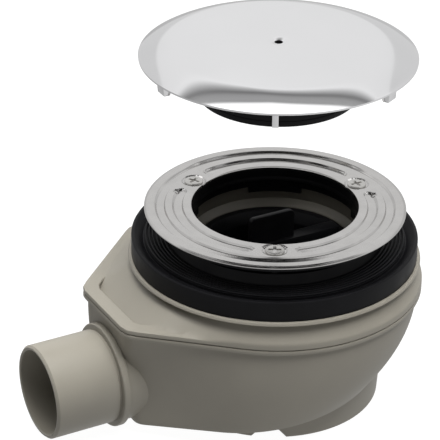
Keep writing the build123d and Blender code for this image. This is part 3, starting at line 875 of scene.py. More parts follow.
class TRAP_OT_clamp_ring(TrapOperator, bpy.types.Operator):
    """Pressed steel ring with its bead, grooves, dimples and pips"""

    bl_idname = "trap.clamp_ring"
    bl_label = "Clamp ring"

    def execute(self, context):
        ring = context.scene.trap_ring
        between = math.tau / ring.screw_count
        bead_mid_r = (ring.bead_inner_r + ring.bead_outer_r) / 2.0
        bead_half = (ring.bead_outer_r - ring.bead_inner_r) / 2.0
        groove_mid_r = (ring.groove_inner_r + ring.groove_outer_r) / 2.0
        groove_half = (ring.groove_outer_r - ring.groove_inner_r) / 2.0
        groove_end = GROOVE_GAP + groove_half / groove_mid_r
        dimple = Vector((ring.screw_circle_r, 0.0))
        pips = [polar(PIP_CIRCLE_R, turn) for turn in PIP_TURNS]

        def pressed(distance, half, slope):
            """Share of the press depth at a distance from the middle of a pressed shape."""
            return min(max((half - distance) / slope, 0.0), 1.0)

        def channel(distance, radius, middle_r, half):
            """Depth of the bead or a groove, whose floor falls toward its outer wall."""
            slope = PRESS_INNER if radius < middle_r else PRESS_OUTER
            fall = (radius - middle_r + half - FLOOR_FLAT) / (2.0 * half - PRESS_OUTER - FLOOR_FLAT)
            floor = PRESS_LEAST + (ring.press - PRESS_LEAST) * min(max(fall, 0.0), 1.0)
            return pressed(distance, half, slope) * floor

        def top(radius, turn):
            """Height of the ring's top."""
            depth = channel(abs(radius - bead_mid_r), radius, bead_mid_r, bead_half)
            if radius < ring.bead_inner_r:
                local = turn % between
                nearest = polar(groove_mid_r, min(max(local, groove_end), between - groove_end))
                away = (polar(radius, local) - nearest).length
                depth = max(depth, channel(away, radius, groove_mid_r, groove_half))
                beside = polar(radius, local if local < between / 2.0 else local - between)
                dip = pressed((beside - dimple).length, RING_DIMPLE_R, PRESS_INNER)
                depth = max(depth, RING_DIMPLE_DEPTH * dip)
            height = RING_TOP_Z - depth
            for pip in pips:
                gap = (polar(radius, turn) - pip).length
                height -= PIP_DEPTH * (1.0 - ease(2.0 * gap / PIP_R - 1.0))
            outer = max(radius - ring.outer_r + ROLL_WIDTH, 0.0) / ROLL_WIDTH
            inner = max(ring.inner_r + HOLE_EDGE - radius, 0.0) / HOLE_EDGE
            height -= ROLL_DROP * outer ** ROLL_CURVE
            return height - HOLE_EDGE * (1.0 - math.sqrt(1.0 - min(inner, 1.0) ** 2))

        reach = ring.outer_r - ring.inner_r
        turns = [math.tau * step / RING_SEGMENTS for step in range(RING_SEGMENTS)]
        rows = [(reach * step / RING_ROWS, 0.0) for step in range(RING_ROWS + 1)]
        rows += [(reach * step / UNDER_ROWS, ring.sheet) for step in range(UNDER_ROWS, -1, -1)]
        rings = []
        for offset, drop in rows:
            radius = ring.inner_r + offset
            rings.append([(*polar(radius, turn), top(radius, turn) - drop) for turn in turns])
        seat(skin("clamp_ring_pressed", rings), "stainless", "clamp_ring")
        return {"FINISHED"}


class TRAP_OT_clamp_screws(TrapOperator, bpy.types.Operator):
    """Three cross-recess screws, seated in the ring's dimples"""

    bl_idname = "trap.clamp_screws"
    bl_label = "Clamp screws"

    def execute(self, context):
        ring = context.scene.trap_ring
        head_z = RING_TOP_Z - RING_DIMPLE_DEPTH
        top_z = head_z + HEAD_H
        side = [
            (0.0, SCREW_LOW.z),
            (SCREW_R - SCREW_TIP, SCREW_LOW.z, 0.0),
            (SCREW_R, SCREW_LOW.z + SCREW_TIP, 0.0),
            (SCREW_R, head_z, 0.0),
            (ring.head_r, head_z),
            (ring.head_r, top_z, HEAD_ROUND),
            (0.0, top_z),
        ]
        screw = turned("clamp_screws", side, CRISP_R, 6, SCREW_SEGMENTS, filled=True)
        half = RECESS_SPAN / 2.0
        foot = RECESS_FOOT / 2.0
        low_z = top_z - RECESS_DEPTH
        outline = [(-foot, low_z), (foot, low_z), (half, top_z), (half, top_z + HEAD_H)]
        outline += [(-half, top_z + HEAD_H), (-half, top_z)]
        for turn in (0.0, math.pi / 2.0):
            combine(screw, spun(prism("recess", outline, RECESS_WIDTH / 2.0), turn), "DIFFERENCE")
        copies(set_out(screw, ring.screw_circle_r), ring.screw_count, "screw_steel")
        seat(screw, "screw_steel", "clamp_screw_1", "clamp_screw_2", "clamp_screw_3")
        return {"FINISHED"}


class TRAP_OT_clamp_sleeve(TrapOperator, bpy.types.Operator):
    """Black sleeve with its flange, tabs, hooks and screw bosses"""

    bl_idname = "trap.clamp_sleeve"
    bl_label = "Clamp sleeve"

    def execute(self, context):
        sizes = context.scene.trap_seal
        ring = context.scene.trap_ring
        top_z = RING_TOP_Z - ring.press - ring.sheet
        low_z = top_z - sizes.flange_t
        lip = sizes.flange_t / 2.0
        bore_r = sizes.sleeve_bore_r
        side = [
            (bore_r, top_z),
            (SLEEVE_HIGH.x, top_z),
            (SLEEVE_HIGH.x, low_z - lip),
            (SLEEVE_HIGH.x - sizes.flange_t, low_z),
            (sizes.sleeve_r, low_z),
            (sizes.sleeve_r, SLEEVE_EDGE_Z),
            (bore_r, SLEEVE_EDGE_Z),
            (bore_r, SLEEVE_LINE_Z),
            (bore_r - SLEEVE_LINE, SLEEVE_LINE_Z + SLEEVE_LINE / 2.0),
            (bore_r, SLEEVE_LINE_Z + SLEEVE_LINE_RUN),
        ]
        sleeve = turned("clamp_sleeve_moulded", side, MOULD_R, 3)
        walls = (bore_r + SUNK, sizes.sleeve_r - SUNK)
        root_z = SLEEVE_EDGE_Z + ROOT
        tab_z = SLEEVE_EDGE_Z - TAB_DROP
        tabs = sector("tabs", *walls, tab_z, root_z, math.pi / ring.screw_count, TAB_HALF)
        combine(sleeve, copies(tabs, ring.screw_count, "black_plastic"), "UNION")
        for middle in HOOK_TURNS:
            hook = sector("hook", *walls, SLEEVE_LOW.z, root_z, middle, HOOK_HALF)
            combine(sleeve, hook, "UNION")
        boss_z = low_z - BOSS_DROP
        side = [(0.0, boss_z), (BOSS_R, boss_z), (BOSS_R, low_z + lip), (0.0, low_z + lip)]
        boss = turned("bosses", side, SOFT_R, segments=BOSS_SEGMENTS, filled=True)
        set_out(boss, ring.screw_circle_r)
        combine(sleeve, copies(boss, ring.screw_count, "black_plastic"), "UNION")
        drill(sleeve, SCREW_HOLE_R, SLEEVE_LOW.z, RING_TOP_Z, "black_plastic")
        seat(sleeve, "black_plastic", "clamp_sleeve")
        return {"FINISHED"}


class TRAP_OT_tray_seal(TrapOperator, bpy.types.Operator):
    """Rubber seal with its round shoulder, moat, ribs and lip"""

    bl_idname = "trap.tray_seal"
    bl_label = "Tray seal"

    def execute(self, context):
        sizes = context.scene.trap_seal
        body = context.scene.trap_body
        rim_r = SEAL_HIGH.x
        rib_r = rim_r - sizes.rim_width - sizes.moat_width
        moat_z = sizes.shoulder_z - sizes.moat_depth
        valley_z = sizes.shoulder_z - RIB_VALLEY
        lip_z = NECK_TOP_Z + SEAL_LIP_T
        side = [
            (rim_r, body.shelf_z),
            (rim_r, sizes.shoulder_z, sizes.shoulder_r),
            (rim_r - sizes.rim_width, sizes.shoulder_z),
            (rib_r + MOAT_FLOOR, moat_z),
            (rib_r, moat_z, CRISP_R),
            (rib_r, valley_z, CRISP_R),
            (SEAL_BORE_R + SEAL_LIP_SLOPE, valley_z),
            (SEAL_BORE_R, lip_z),
            (body.neck_bore_r, lip_z),
            (body.neck_bore_r, NECK_TOP_Z),
            (SEAL_BORE_R, NECK_TOP_Z, 0.0),
            (SEAL_BORE_R, body.shelf_z, 0.0),
        ]
        seal = turned("tray_seal_moulded", side, SOFT_R)
        ribs = linked("ribs", bpy.data.meshes.new("ribs"))
        values = {
            "Count": sizes.rib_count,
            "Outer Radius": rib_r - sizes.rib_pitch / 2.0,
            "Pitch": sizes.rib_pitch,
            "Height": sizes.shoulder_z - sizes.rib_size,
            "Rib Radius": sizes.rib_size,
            "Finish": finish("black_rubber"),
        }
        combine(seal, grow(ribs, ribs_tree(), values), "UNION")
        drill(seal, SCREW_HOLE_R, NECK_TOP_Z - PAST, lip_z + PAST, "black_rubber")
        seat(seal, "black_rubber", "tray_seal")
        return {"FINISHED"}


class TRAP_OT_upper_body(TrapOperator, bpy.types.Operator):
    """Upper half: neck, shelf, waist and the deck with its pocket and rim"""

    bl_idname = "trap.upper_body"
    bl_label = "Upper body"

    def execute(self, context):
        body = context.scene.trap_body
        foot = body_plan(body, body.deck_r, body.deck_end, body.corner_r, body.front_angle)
        waist = circle_like(body.waist_r, foot)
        edge = body.edge_r

        def shares_at(inset, corner_r=None):
            """Shares of the deck's straight lines at which they cross the flange's plan, set in."""
            return crossings(waist, foot, flange_plan(body, inset, corner_r))

        def across(shares):
            """Points in plan on the deck's lines."""
            return [start.lerp(end, share) for start, end, share in zip(waist, foot, shares)]

        def on_deck(shares, least_z, drop=0.0):
            """Ring on the deck's lines, kept above a least height."""
            heights = [max(WAIST_Z + (DECK_Z - WAIST_Z) * share - drop, least_z) for share in shares]
            return [(point.x, point.y, height) for point, height in zip(across(shares), heights)]

        def at_edge(inset, rise):
            """Ring along the flange's edge, set in, at a height above or below the deck's edge."""
            return [(x, y, z + rise) for x, y, z in on_deck(shares_at(inset), FLANGE_TOP_Z)]

        def between(low, high, steps):
            """Sets of shares from one set to another, both included."""
            return [[a + (b - a) * step / steps for a, b in zip(low, high)] for step in range(steps + 1)]

        neck_bore_r = body.neck_bore_r
        neck = [
            (INLET_BORE_R, STUB_Z),
            (INLET_BORE_R, SEAT_Z, CRISP_R),
            (SEAT_R, SEAT_Z, CRISP_R),
            (SEAT_R, SEAT_TOP_Z),
            (neck_bore_r - LEDGE, LEDGE_Z, CRISP_R),
            (neck_bore_r - LEDGE / 2.0, LEDGE_Z - LEDGE_GROOVE, 0.0),
            (neck_bore_r, LEDGE_Z - LEDGE_GROOVE, 0.0),
            (neck_bore_r, NECK_TOP_Z),
            (body.neck_r, NECK_TOP_Z),
            (body.neck_r, body.shelf_z),
            (body.shelf_r - SHELF_DRAFT, body.shelf_z),
            (body.shelf_r, SHELF_LOW_Z, edge / 2.0),
            (body.waist_r, SHELF_LOW_Z, edge / 2.0),
            (body.waist_r, WAIST_Z),
        ]
        neck = rounded(neck, edge, 3, closed=False)
        rings = [level(circle_like(radius, foot), height) for radius, height in neck]
        ground = DECK_Z * 2.0
        rim = shares_at(body.rim_width, POCKET_CORNER_R)
        rim_top = shares_at(body.rim_width - edge / 2.0, POCKET_CORNER_R)
        deck = between([0.0] * len(foot), rim, DECK_STEPS)[1:]
        rings += [on_deck(shares, ground) for shares in deck]
        rings.append([(x, y, max(z, FLANGE_TOP_Z - edge / 2.0)) for x, y, z in rings[-1]])
        rings += [on_deck(shares, FLANGE_TOP_Z) for shares in between(rim_top, shares_at(edge), RIM_STEPS)]
        rings.append(at_edge(edge * CHORD, -edge * CHORD))
        rings.append(at_edge(0.0, -edge))
        edge_ring = across(shares_at(0.0))
        groove_ring = across(shares_at(SEAM_GROOVE_DEPTH))
        bevel_ring = [a.lerp(b, SEAM_BEVEL) for a, b in zip(edge_ring, groove_ring)]
        groove_z = body.seam_z + SEAM_GROOVE_HEIGHT
        rings.append(level(edge_ring, groove_z + SEAM_BEVEL_HEIGHT))
        rings.append(level(bevel_ring, groove_z))
        rings.append(level(groove_ring, groove_z))
        rings.append(level(groove_ring, body.seam_z))
        spigot_ring = across(shares_at(WALL_INSET + body.wall + SPIGOT_PLAY))
        rings.append(level(spigot_ring, body.seam_z))
        roof = [min(DECK_Z, z) for x, y, z in on_deck(rim, ground, DECK_T)]
        rings.append([(point.x, point.y, height) for point, height in zip(spigot_ring, roof)])
        rings += [on_deck(shares, ground, DECK_T) for shares in reversed(deck)]
        inner_r = body.waist_r - body.wall
        stub_r = INLET_BORE_R + body.wall
        under = [(inner_r, WAIST_Z - DECK_T), (inner_r, SHELF_LOW_Z)]
        under += [(stub_r, SHELF_LOW_Z), (stub_r, STUB_Z)]
        rings += [level(circle_like(radius, foot), height) for radius, height in under]
        upper = skin("upper_body_moulded", rings)
        insert_low, insert_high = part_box("screw_insert_1")
        insert_r = (insert_high.y - insert_low.y) / 2.0
        drill(upper, insert_r, insert_low.z, insert_high.z + PAST, "beige_plastic")
        seat(upper, "beige_plastic", "upper_body", sharp=BODY_SHARP)
        return {"FINISHED"}


class TRAP_OT_lower_body(TrapOperator, bpy.types.Operator):
    """Lower half: bowl, water pot with its foot ring, and the outlet pipe with its collar"""

    bl_idname = "trap.lower_body"
    bl_label = "Lower body"

    def outlet(self, body, name, side, round_r=0.0):
        """Solid of revolution about the outlet axis from (radius, place along X) points."""
        piece = turned(name, side, round_r, segments=PIPE_SEGMENTS, filled=True)
        place = Matrix.Translation((0.0, body.pipe_y, body.pipe_z))
        return shift(piece, place @ Matrix.Rotation(math.pi / 2.0, 4, "Y"))

    def execute(self, context):
        body = context.scene.trap_body
        edge = body.edge_r
        chord = edge * CHORD
        flange = [
            (edge, body.seam_z),
            (chord, body.seam_z - chord),
            (0.0, body.seam_z - edge),
            (0.0, FLANGE_LOW_Z + edge),
            (chord, FLANGE_LOW_Z + chord),
            (edge, FLANGE_LOW_Z),
        ]
        rings = [level(flange_plan(body, inset), height) for inset, height in flange]
        rings += bowl_rings(body, 0.0, BOWL_EDGE)
        rings.append(bowl_floor(body, BOWL_EDGE * CHORD, BOWL_EDGE * CHORD))
        rings.append(bowl_floor(body, BOWL_EDGE, 0.0))
        lower = skin("lower_body_moulded", rings, closed=False)

        collar_from = body.collar_x - body.collar_width / 2.0
        collar_to = body.collar_x + body.collar_width / 2.0
        groove_r = body.pipe_r - COLLAR_GROOVE
        pipe = [
            (0.0, MOUTH_X),
            (body.pipe_r - MOUTH_EDGE, MOUTH_X, CRISP_R),
            (body.pipe_r, MOUTH_X + MOUTH_EDGE),
            (body.pipe_r, collar_from - 2.0 * COLLAR_GROOVE),
            (groove_r, collar_from - COLLAR_GROOVE),
            (groove_r, collar_from, CRISP_R),
            (body.collar_r, collar_from, COLLAR_ROUND),
            (body.collar_r, collar_to, COLLAR_ROUND),
            (HUB_R, collar_to, HUB_ROUND),
            (HUB_R, -body.pot_r, 0.0),
            (0.0, -body.pot_r),
        ]
        combine(lower, self.outlet(body, "pipe", pipe, SOFT_R), "UNION")

        hollow = bowl_rings(body, body.wall, body.wall)
        hollow.insert(0, level(flange_plan(body, WALL_INSET + body.wall), body.seam_z + PAST))
        combine(lower, skin("hollow", hollow, closed=False), "DIFFERENCE")
        bore_r = body.pipe_r - body.pipe_wall
        bore = [(bore_r + BORE_EDGE + PAST, MOUTH_X - PAST), (bore_r, MOUTH_X + BORE_EDGE)]
        bore.append((bore_r, -body.pot_r - body.wall))
        combine(lower, self.outlet(body, "bore", bore), "DIFFERENCE")

        pot = [
            (0.0, FOOT_Z),
            (body.foot_r, FOOT_Z),
            (body.pot_r, POT_DRAFT_Z, 0.0),
            (body.pot_r, WEIR_Z),
            (0.0, WEIR_Z),
        ]
        combine(lower, turned("pot", pot, edge, filled=True), "UNION")
        foot_bore_r = body.foot_r - body.wall
        pot_bore_r = body.pot_r - body.wall
        well = [(foot_bore_r, POT_FLOOR_Z + body.wall), (pot_bore_r, POT_DRAFT_Z)]
        well.append((pot_bore_r, WEIR_Z + PAST))
        combine(lower, turned("well", well, filled=True), "DIFFERENCE")
        under = [(foot_bore_r, FOOT_Z - PAST), (foot_bore_r, POT_FLOOR_Z)]
        combine(lower, turned("under", under, filled=True), "DIFFERENCE")
        top_half = body.pot_r * math.tan(NOTCH_TOP / 2.0)
        low_half = body.pot_r * math.tan(NOTCH_LOW / 2.0)
        low_half += (low_half - top_half) / NOTCH_HEIGHT * PAST
        low_z = FOOT_Z - PAST
        top_z = FOOT_Z + NOTCH_HEIGHT
        outline = [(-low_half, low_z), (low_half, low_z), (top_half, top_z), (-top_half, top_z)]
        notch = spun(prism("notches", outline, 2.0 * body.wall), math.pi / 2.0)
        spun(set_out(notch, body.pot_r), NOTCH_FIRST)
        combine(lower, copies(notch, body.notch_count, "beige_plastic"), "DIFFERENCE")
        seat(lower, "beige_plastic", "lower_body", sharp=BODY_SHARP)
        return {"FINISHED"}


class TRAP_OT_dip_cup(TrapOperator, bpy.types.Operator):
    """Dip tube with its rim, bridge and grip"""

    bl_idname = "trap.dip_cup"
    bl_label = "Dip tube"

    def execute(self, context):
        cup = context.scene.trap_cup
        rim_z = SEAT_Z + CUP_RIM_T
        groove_low_z = CUP_GROOVE_Z - CUP_GROOVE_HALF
        groove_high_z = CUP_GROOVE_Z + CUP_GROOVE_HALF
        mouth_r = CUP_HEAD_R - cup.wall / 2.0
        side = [
            (cup.rim_r, rim_z),
            (cup.rim_r, SEAT_Z),
            (CUP_HEAD_R, SEAT_Z),
            (CUP_HEAD_R, groove_high_z),
            (cup.tube_r, groove_high_z),
            (cup.tube_r, groove_low_z),
            (CUP_HEAD_R, groove_low_z),
            (CUP_HEAD_R, CUP_STUB_Z),
            (cup.tube_r, CUP_STUB_Z),
            (cup.low_r, CUP_LOW.z),
            (cup.low_r - cup.wall, CUP_LOW.z),
            (cup.tube_r - cup.wall, CUP_STUB_Z),
            (cup.tube_r - cup.wall, groove_high_z),
            (mouth_r, rim_z),
        ]
        piece = turned("dip_cup_moulded", side, MOULD_R, 3)
        half = mouth_r - BRIDGE_SUNK
        low_z = BRIDGE_TOP_Z - BRIDGE_HEIGHT
        bridge = [(-half, low_z), (half, low_z), (half, BRIDGE_TOP_Z), (-half, BRIDGE_TOP_Z)]
        combine(piece, prism("bridge", bridge, cup.bridge_width / 2.0, BRIDGE_EDGE), "UNION")
        root_z = BRIDGE_TOP_Z - BRIDGE_HEIGHT / 2.0
        grip = [(GRIP_LEFT_X, root_z, 0.0), (GRIP_RIGHT_X, root_z, 0.0)]
        grip += [(GRIP_RIGHT_X, cup.grip_top_z), (GRIP_LEFT_X, cup.grip_top_z)]
        grip = rounded(grip, GRIP_CORNER, 5)
        combine(piece, prism("grip", grip, cup.grip_t / 2.0, MOULD_R), "UNION")
        seat(piece, "black_plastic", "dip_cup")
        return {"FINISHED"}


def dome_side(cover, inset, from_r):
    """Side line of the cover, set in by a sheet: the crowned top, then the shoulder to the rim."""
    crown_turn = 2.0 * math.atan2(cover.crown, cover.top_r)
    crown_r = cover.top_r / math.sin(crown_turn)
    rim_turn = 2.0 * math.atan2(cover.rise, cover.rim_r - cover.top_r) - crown_turn
    shoulder_r = (cover.rim_r - cover.top_r) / (math.sin(rim_turn) - math.sin(crown_turn))
    first = math.asin(from_r / (crown_r - inset))
    points = []
    for bend_r, start, end in ((crown_r, first, crown_turn), (shoulder_r, crown_turn, rim_turn)):
        middle_r = cover.top_r - bend_r * math.sin(crown_turn)
        middle_z = cover.rim_z + cover.rise - bend_r * math.cos(crown_turn)
        for step in range(1 if points else 0, DOME_STEPS + 1):
            turn = start + (end - start) * step / DOME_STEPS
            across = middle_r + (bend_r - inset) * math.sin(turn)
            points.append((across, middle_z + (bend_r - inset) * math.cos(turn)))
    return points


def height_at(side, radius):
    """Height of a side line at a radius."""
    for (low_r, low_z), (high_r, high_z) in zip(side, side[1:]):
        if low_r <= radius <= high_r:
            return low_z + (high_z - low_z) * (radius - low_r) / (high_r - low_r)
    return side[-1][1]


class TRAP_OT_cover_cap(TrapOperator, bpy.types.Operator):
    """Chrome cover with its lifting hole, feet and clip legs"""

    bl_idname = "trap.cover_cap"
    bl_label = "Cover"

    def execute(self, context):
        cover = context.scene.trap_cover
        outer = dome_side(cover, 0.0, COVER_DIMPLE_R)
        inner = dome_side(cover, cover.sheet, cover.hole_r)
        rim_top = Vector(outer[-1])
        rim_under = Vector(inner[-1])
        lip = (rim_top - Vector(outer[-2])).normalized() * cover.sheet * COVER_LIP
        rim = [rim_top - lip, rim_top.lerp(rim_under, 0.5) + lip * COVER_LIP, rim_under - lip]
        dimple = (cover.hole_r, outer[0][1] - COVER_DIMPLE_DEPTH)
        side = outer[:-1] + rim + inner[-2::-1] + [dimple]
        cap = turned("cover_cap_plated", side, segments=COVER_SEGMENTS)
        sheet_side = dome_side(cover, cover.sheet / 2.0, cover.hole_r)
        outline = [(radius, cover.foot_low_z) for radius in COVER_FOOT_END]
        outline += [(radius, height_at(sheet_side, radius)) for radius in COVER_FOOT_ROOT]
        foot = spun(prism("feet", outline, cover.foot_width / 2.0, COVER_FOOT_EDGE), COVER_FOOT_FIRST)
        combine(cap, copies(foot, COVER_FEET, "chrome"), "UNION")
        leg_r = cover.skirt_r + LEG_T
        leg_z = height_at(sheet_side, leg_r)
        low_z = cover.skirt_low_z
        outline = [(cover.skirt_r, low_z), (leg_r, low_z), (leg_r, leg_z), (cover.skirt_r, leg_z)]
        leg = spun(prism("legs", outline, cover.leg_width / 2.0, LEG_EDGE), LEG_FIRST)
        combine(cap, copies(leg, COVER_FEET, "chrome"), "UNION")
        seat(cap, "chrome", "cover_cap")
        return {"FINISHED"}


class TRAP_OT_cover_skirt(TrapOperator, bpy.types.Operator):
    """Black ring under the cover, with its fine grooves"""

    bl_idname = "trap.cover_skirt"
    bl_label = "Cover skirt"

    def execute(self, context):
        cover = context.scene.trap_cover
        under = dome_side(cover, cover.sheet, cover.hole_r)
        outer_r = cover.skirt_r
        inner_r = outer_r - cover.skirt_wall
        floor_r = outer_r - SKIRT_GROOVE
        corners = [(inner_r, cover.skirt_low_z), (outer_r, cover.skirt_low_z)]
        for step in range(cover.groove_count):
            middle_z = cover.skirt_low_z + SKIRT_GROOVE_PITCH * (step + 1)
            low_z = middle_z - SKIRT_GROOVE
            high_z = middle_z + SKIRT_GROOVE
            corners += [(outer_r, low_z, CRISP_R), (floor_r, low_z, CRISP_R / 2.0)]
            corners += [(floor_r, high_z, CRISP_R / 2.0), (outer_r, high_z, CRISP_R)]
        corners += [(radius, height_at(under, radius)) for radius in (outer_r, inner_r)]
        seat(turned("cover_skirt_moulded", corners, SOFT_R, 3), "black_plastic", "cover_skirt")
        return {"FINISHED"}


class TRAP_OT_hidden_pieces(TrapOperator, bpy.types.Operator):
    """Finishes of the inserts and the ring seal, which keep their own solids"""

    bl_idname = "trap.hidden_pieces"
    bl_label = "Hidden pieces"

    def execute(self, context):
        slots = {item["node"]: item["material_slot"] for item in frame["record"]["subparts"]}
        for node in ("screw_insert_1", "screw_insert_2", "screw_insert_3", "dip_cup_seal"):
            piece = frame["nodes"][node]
            if not piece.material_slots:
                piece.data.materials.append(None)
            for holder in piece.material_slots:
                holder.link = "OBJECT"
                holder.material = finish(slots[node])
        return {"FINISHED"}


# Stage

CAMERA_PLACE = (-0.42169, -0.71683, 0.43419)
CAMERA_TURN = math.radians(-28.88)
CAMERA_TILT = math.radians(90.0 - 27.98937)
CAMERA_ROLL = math.radians(0.54758)
CAMERA_LENS = 182.836
CAMERA_SENSOR = 36.0

# Square lights that polished faces don't mirror: name, place, side and power
LIGHTS = (
    ("overhead", (0.0, 0.15, 1.0), 0.7, 9.5),
    ("front", (0.10, -0.50, 1.0), 0.5, 7.0),
)
LIGHT_AIM = Vector((0.0, 0.0, -0.03))

VIEW_AHEAD = (-math.sin(CAMERA_TURN), math.cos(CAMERA_TURN), 0.0)
VIEW_RIGHT = (math.cos(CAMERA_TURN), math.sin(CAMERA_TURN), 0.0)

# Studio by the turn over the object, from the backdrop's foot at 0 to the floor behind the camera at 1
STUDIO = (
    (0.0, 0.34), (0.025, 0.41), (0.15, 0.425), (0.183, 0.46), (0.22, 0.245), (0.264, 0.09), (0.30, 0.17),
    (0.345, 0.19), (0.372, 0.165), (0.394, 0.56), (0.43, 0.80), (0.60, 0.80), (0.68, 0.06), (1.0, 0.03),
)
STUDIO_STRENGTH = 2.0

# The studio is a little off the middle, draws together and dims towards its sides
STUDIO_MIDDLE = 0.02
STUDIO_REACH = 0.6
SIDE_EDGE = (0.95, 0.55)
SIDE_DIM = 0.10

# Dim walls at the sides and behind the camera, which only show in polished faces
ROOM_EDGE = (0.80, 0.86)
ROOM_LEVEL = 0.34

# Light from below: level under the object, and how it grows to the right and towards the camera
BOUNCE = 0.28
BOUNCE_RIGHT = 0.08
BOUNCE_FRONT = 0.02
HORIZON = 0.02

# Floor: half its side, glow, roughness, noise and tone limits
FLOOR_REACH = 3.0
FLOOR_GLOW = 0.96
FLOOR_ROUGHNESS = 0.9
FLOOR_NOISE = (3.0, 2.0)
FLOOR_TONE = (0.99, 1.01)


def dot_node(tree, where, direction):
    """Place along a direction."""
    node = tree.nodes.new("ShaderNodeVectorMath")
    node.operation = "DOT_PRODUCT"
    node.inputs[1].default_value = direction
    tree.links.new(where, node.inputs[0])
    return node.outputs["Value"]


def soft_edge(tree, value, dark, bright):
    """Share that rises smoothly from 0 at one value to 1 at another."""
    node = tree.nodes.new("ShaderNodeMapRange")
    node.interpolation_type = "SMOOTHSTEP"
    node.inputs["From Min"].default_value = dark
    node.inputs["From Max"].default_value = bright
    tree.links.new(value, node.inputs["Value"])
    return node.outputs["Result"]


def stops_node(tree, place, stops):
    """Grey level by place, through stops of (place, level)."""
    ramp = tree.nodes.new("ShaderNodeValToRGB")
    elements = ramp.color_ramp.elements
    while len(elements) < len(stops):
        elements.new(0.5)
    for element, (position, bright) in zip(elements, stops):
        element.position = position
        element.color = (bright, bright, bright, 1.0)
    tree.links.new(place, ramp.inputs["Fac"])
    return ramp.outputs["Color"]


class TRAP_OT_stage(TrapOperator, bpy.types.Operator):
    """Pale floor, soft studio light and the camera at the photo's angle"""

    bl_idname = "trap.stage"
    bl_label = "Stage"

    def execute(self, context):
        scene = context.scene
        scene.view_settings.view_transform = "Standard"
        mesh = bpy.data.meshes.new("floor")
        reach = FLOOR_REACH
        corners = [(-reach, -reach), (reach, -reach), (reach, reach), (-reach, reach)]
        mesh.from_pydata([(x, y, FOOT_Z) for x, y in corners], [], [(0, 1, 2, 3)])
        mesh.materials.append(self.floor_finish(scene))
        floor = linked("floor", mesh)
        floor.visible_diffuse = False
        floor.visible_glossy = False

        scene.world = self.studio()
        for name, place, side, power in LIGHTS:
            lamp = bpy.data.lights.new(name, "AREA")
            lamp.size = side
            lamp.energy = power
            holder = linked(name, lamp)
            holder.location = place
            holder.rotation_euler = (LIGHT_AIM - Vector(place)).to_track_quat("-Z", "Y").to_euler()
            holder.visible_glossy = False

        camera = bpy.data.cameras.new("camera")
        camera.lens = CAMERA_LENS
        camera.sensor_width = CAMERA_SENSOR
        holder = linked("camera", camera)
        aim = Matrix.Rotation(CAMERA_TURN, 4, "Z") @ Matrix.Rotation(CAMERA_TILT, 4, "X")
        roll = Matrix.Rotation(CAMERA_ROLL, 4, "Z")
        holder.matrix_world = Matrix.Translation(CAMERA_PLACE) @ aim @ roll
        scene.camera = holder
        return {"FINISHED"}

    def studio(self):
        """Studio walls: backdrop, dark upper wall, overhead light and a dim room round them."""
        world = bpy.data.worlds.new("studio")
        world.use_nodes = True
        tree = world.node_tree
        nodes = tree.nodes
        where = nodes.new("ShaderNodeTexCoord").outputs["Generated"]
        split = nodes.new("ShaderNodeSeparateXYZ")
        tree.links.new(where, split.inputs[0])
        high = split.outputs["Z"]
        along = dot_node(tree, where, VIEW_AHEAD)
        side = dot_node(tree, where, VIEW_RIGHT)
        turn = math_node(tree, "DIVIDE", math_node(tree, "ARCTAN2", high, along), math.pi)
        aside = math_node(tree, "ABSOLUTE", math_node(tree, "ADD", side, STUDIO_MIDDLE), 0.0)
        shrink = math_node(tree, "SUBTRACT", 1.0, math_node(tree, "MINIMUM", aside, STUDIO_REACH))
        below_top = math_node(tree, "DIVIDE", math_node(tree, "SUBTRACT", 0.5, turn), shrink)
        place = math_node(tree, "SUBTRACT", 0.5, below_top)
        inside = soft_edge(tree, aside, *SIDE_EDGE)
        light = nodes.new("ShaderNodeVectorMath")
        light.operation = "SCALE"
        tree.links.new(stops_node(tree, place, STUDIO), light.inputs[0])
        tree.links.new(spread(nodes, tree.links, inside, SIDE_DIM, 1.0), light.inputs["Scale"])
        walls = math_node(tree, "SUBTRACT", 1.0, inside)
        walls = math_node(tree, "MAXIMUM", walls, soft_edge(tree, place, *ROOM_EDGE))
        glossy = nodes.new("ShaderNodeLightPath").outputs["Is Glossy Ray"]
        mirrored = math_node(tree, "MULTIPLY", walls, glossy)
        room = nodes.new("ShaderNodeVectorMath")
        room.operation = "ADD"
        tree.links.new(light.outputs["Vector"], room.inputs[0])
        tree.links.new(math_node(tree, "MULTIPLY", mirrored, ROOM_LEVEL), room.inputs[1])
        right = math_node(tree, "MULTIPLY", side, BOUNCE_RIGHT)
        front = math_node(tree, "MULTIPLY", along, -BOUNCE_FRONT)
        bounce = math_node(tree, "ADD", math_node(tree, "ADD", right, front), BOUNCE)
        halves = nodes.new("ShaderNodeMix")
        halves.data_type = "RGBA"
        tree.links.new(soft_edge(tree, high, -HORIZON, HORIZON), halves.inputs["Factor"])
        tree.links.new(bounce, halves.inputs["A"])
        tree.links.new(room.outputs["Vector"], halves.inputs["B"])
        tree.links.new(halves.outputs["Result"], nodes["Background"].inputs["Color"])
        nodes["Background"].inputs["Strength"].default_value = STUDIO_STRENGTH
        return world

    def floor_finish(self, scene):
        """Pale matt floor with a faint unevenness."""
        material = bpy.data.materials.new("finish_floor")
        material.use_nodes = True
        nodes = material.node_tree.nodes
        links = material.node_tree.links
        shader = nodes["Principled BSDF"]
        shader.inputs["Roughness"].default_value = FLOOR_ROUGHNESS
        where = nodes.new("ShaderNodeTexCoord").outputs["Object"]
        patches = noise(nodes, links, *FLOOR_NOISE, where)
        tone = ramp_colour(nodes, links, patches, scene.trap_colours.floor, *FLOOR_TONE)
        links.new(tone, shader.inputs["Base Color"])
        shader.inputs["Emission Color"].default_value = (1.0, 1.0, 1.0, 1.0)
        shader.inputs["Emission Strength"].default_value = FLOOR_GLOW
        return material


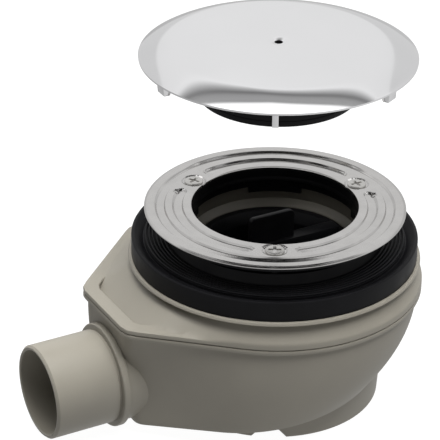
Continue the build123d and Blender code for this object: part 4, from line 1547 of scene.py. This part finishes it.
class TRAP_PT_sidebar(bpy.types.Panel):
    """Sidebar with the pieces, their sizes and colours."""

    bl_idname = "TRAP_PT_sidebar"
    bl_label = "Shower trap"
    bl_space_type = "VIEW_3D"
    bl_region_type = "UI"
    bl_category = "Trap"

    def draw(self, context):
        scene = context.scene
        for operator in OPERATORS:
            self.layout.operator(operator.bl_idname)
        for name, group in GROUPS.items():
            for size in group.__annotations__:
                self.layout.prop(getattr(scene, name), size)


GROUPS = {
    "trap_ring": RingSizes,
    "trap_seal": SealSizes,
    "trap_body": BodySizes,
    "trap_cup": CupSizes,
    "trap_cover": CoverSizes,
    "trap_colours": TrapColours,
}
OPERATORS = (
    TRAP_OT_clamp_ring,
    TRAP_OT_clamp_screws,
    TRAP_OT_clamp_sleeve,
    TRAP_OT_tray_seal,
    TRAP_OT_upper_body,
    TRAP_OT_lower_body,
    TRAP_OT_dip_cup,
    TRAP_OT_cover_cap,
    TRAP_OT_cover_skirt,
    TRAP_OT_hidden_pieces,
    TRAP_OT_stage,
)


def register():
    """Register the sizes, the operators and the sidebar."""
    for name, group in GROUPS.items():
        bpy.utils.register_class(group)
        setattr(bpy.types.Scene, name, bpy.props.PointerProperty(type=group))
    for operator in OPERATORS:
        bpy.utils.register_class(operator)
    bpy.utils.register_class(TRAP_PT_sidebar)


def unregister():
    """Take everything back out."""
    bpy.utils.unregister_class(TRAP_PT_sidebar)
    for operator in reversed(OPERATORS):
        bpy.utils.unregister_class(operator)
    for name, group in GROUPS.items():
        delattr(bpy.types.Scene, name)
        bpy.utils.unregister_class(group)


def main():
    """Build every piece and the stage."""
    register()
    bpy.ops.trap.clamp_ring()
    bpy.ops.trap.clamp_screws()
    bpy.ops.trap.clamp_sleeve()
    bpy.ops.trap.tray_seal()
    bpy.ops.trap.upper_body()
    bpy.ops.trap.lower_body()
    bpy.ops.trap.dip_cup()
    bpy.ops.trap.cover_cap()
    bpy.ops.trap.cover_skirt()
    bpy.ops.trap.hidden_pieces()
    bpy.ops.trap.stage()


if __name__ == "__main__":
    main()
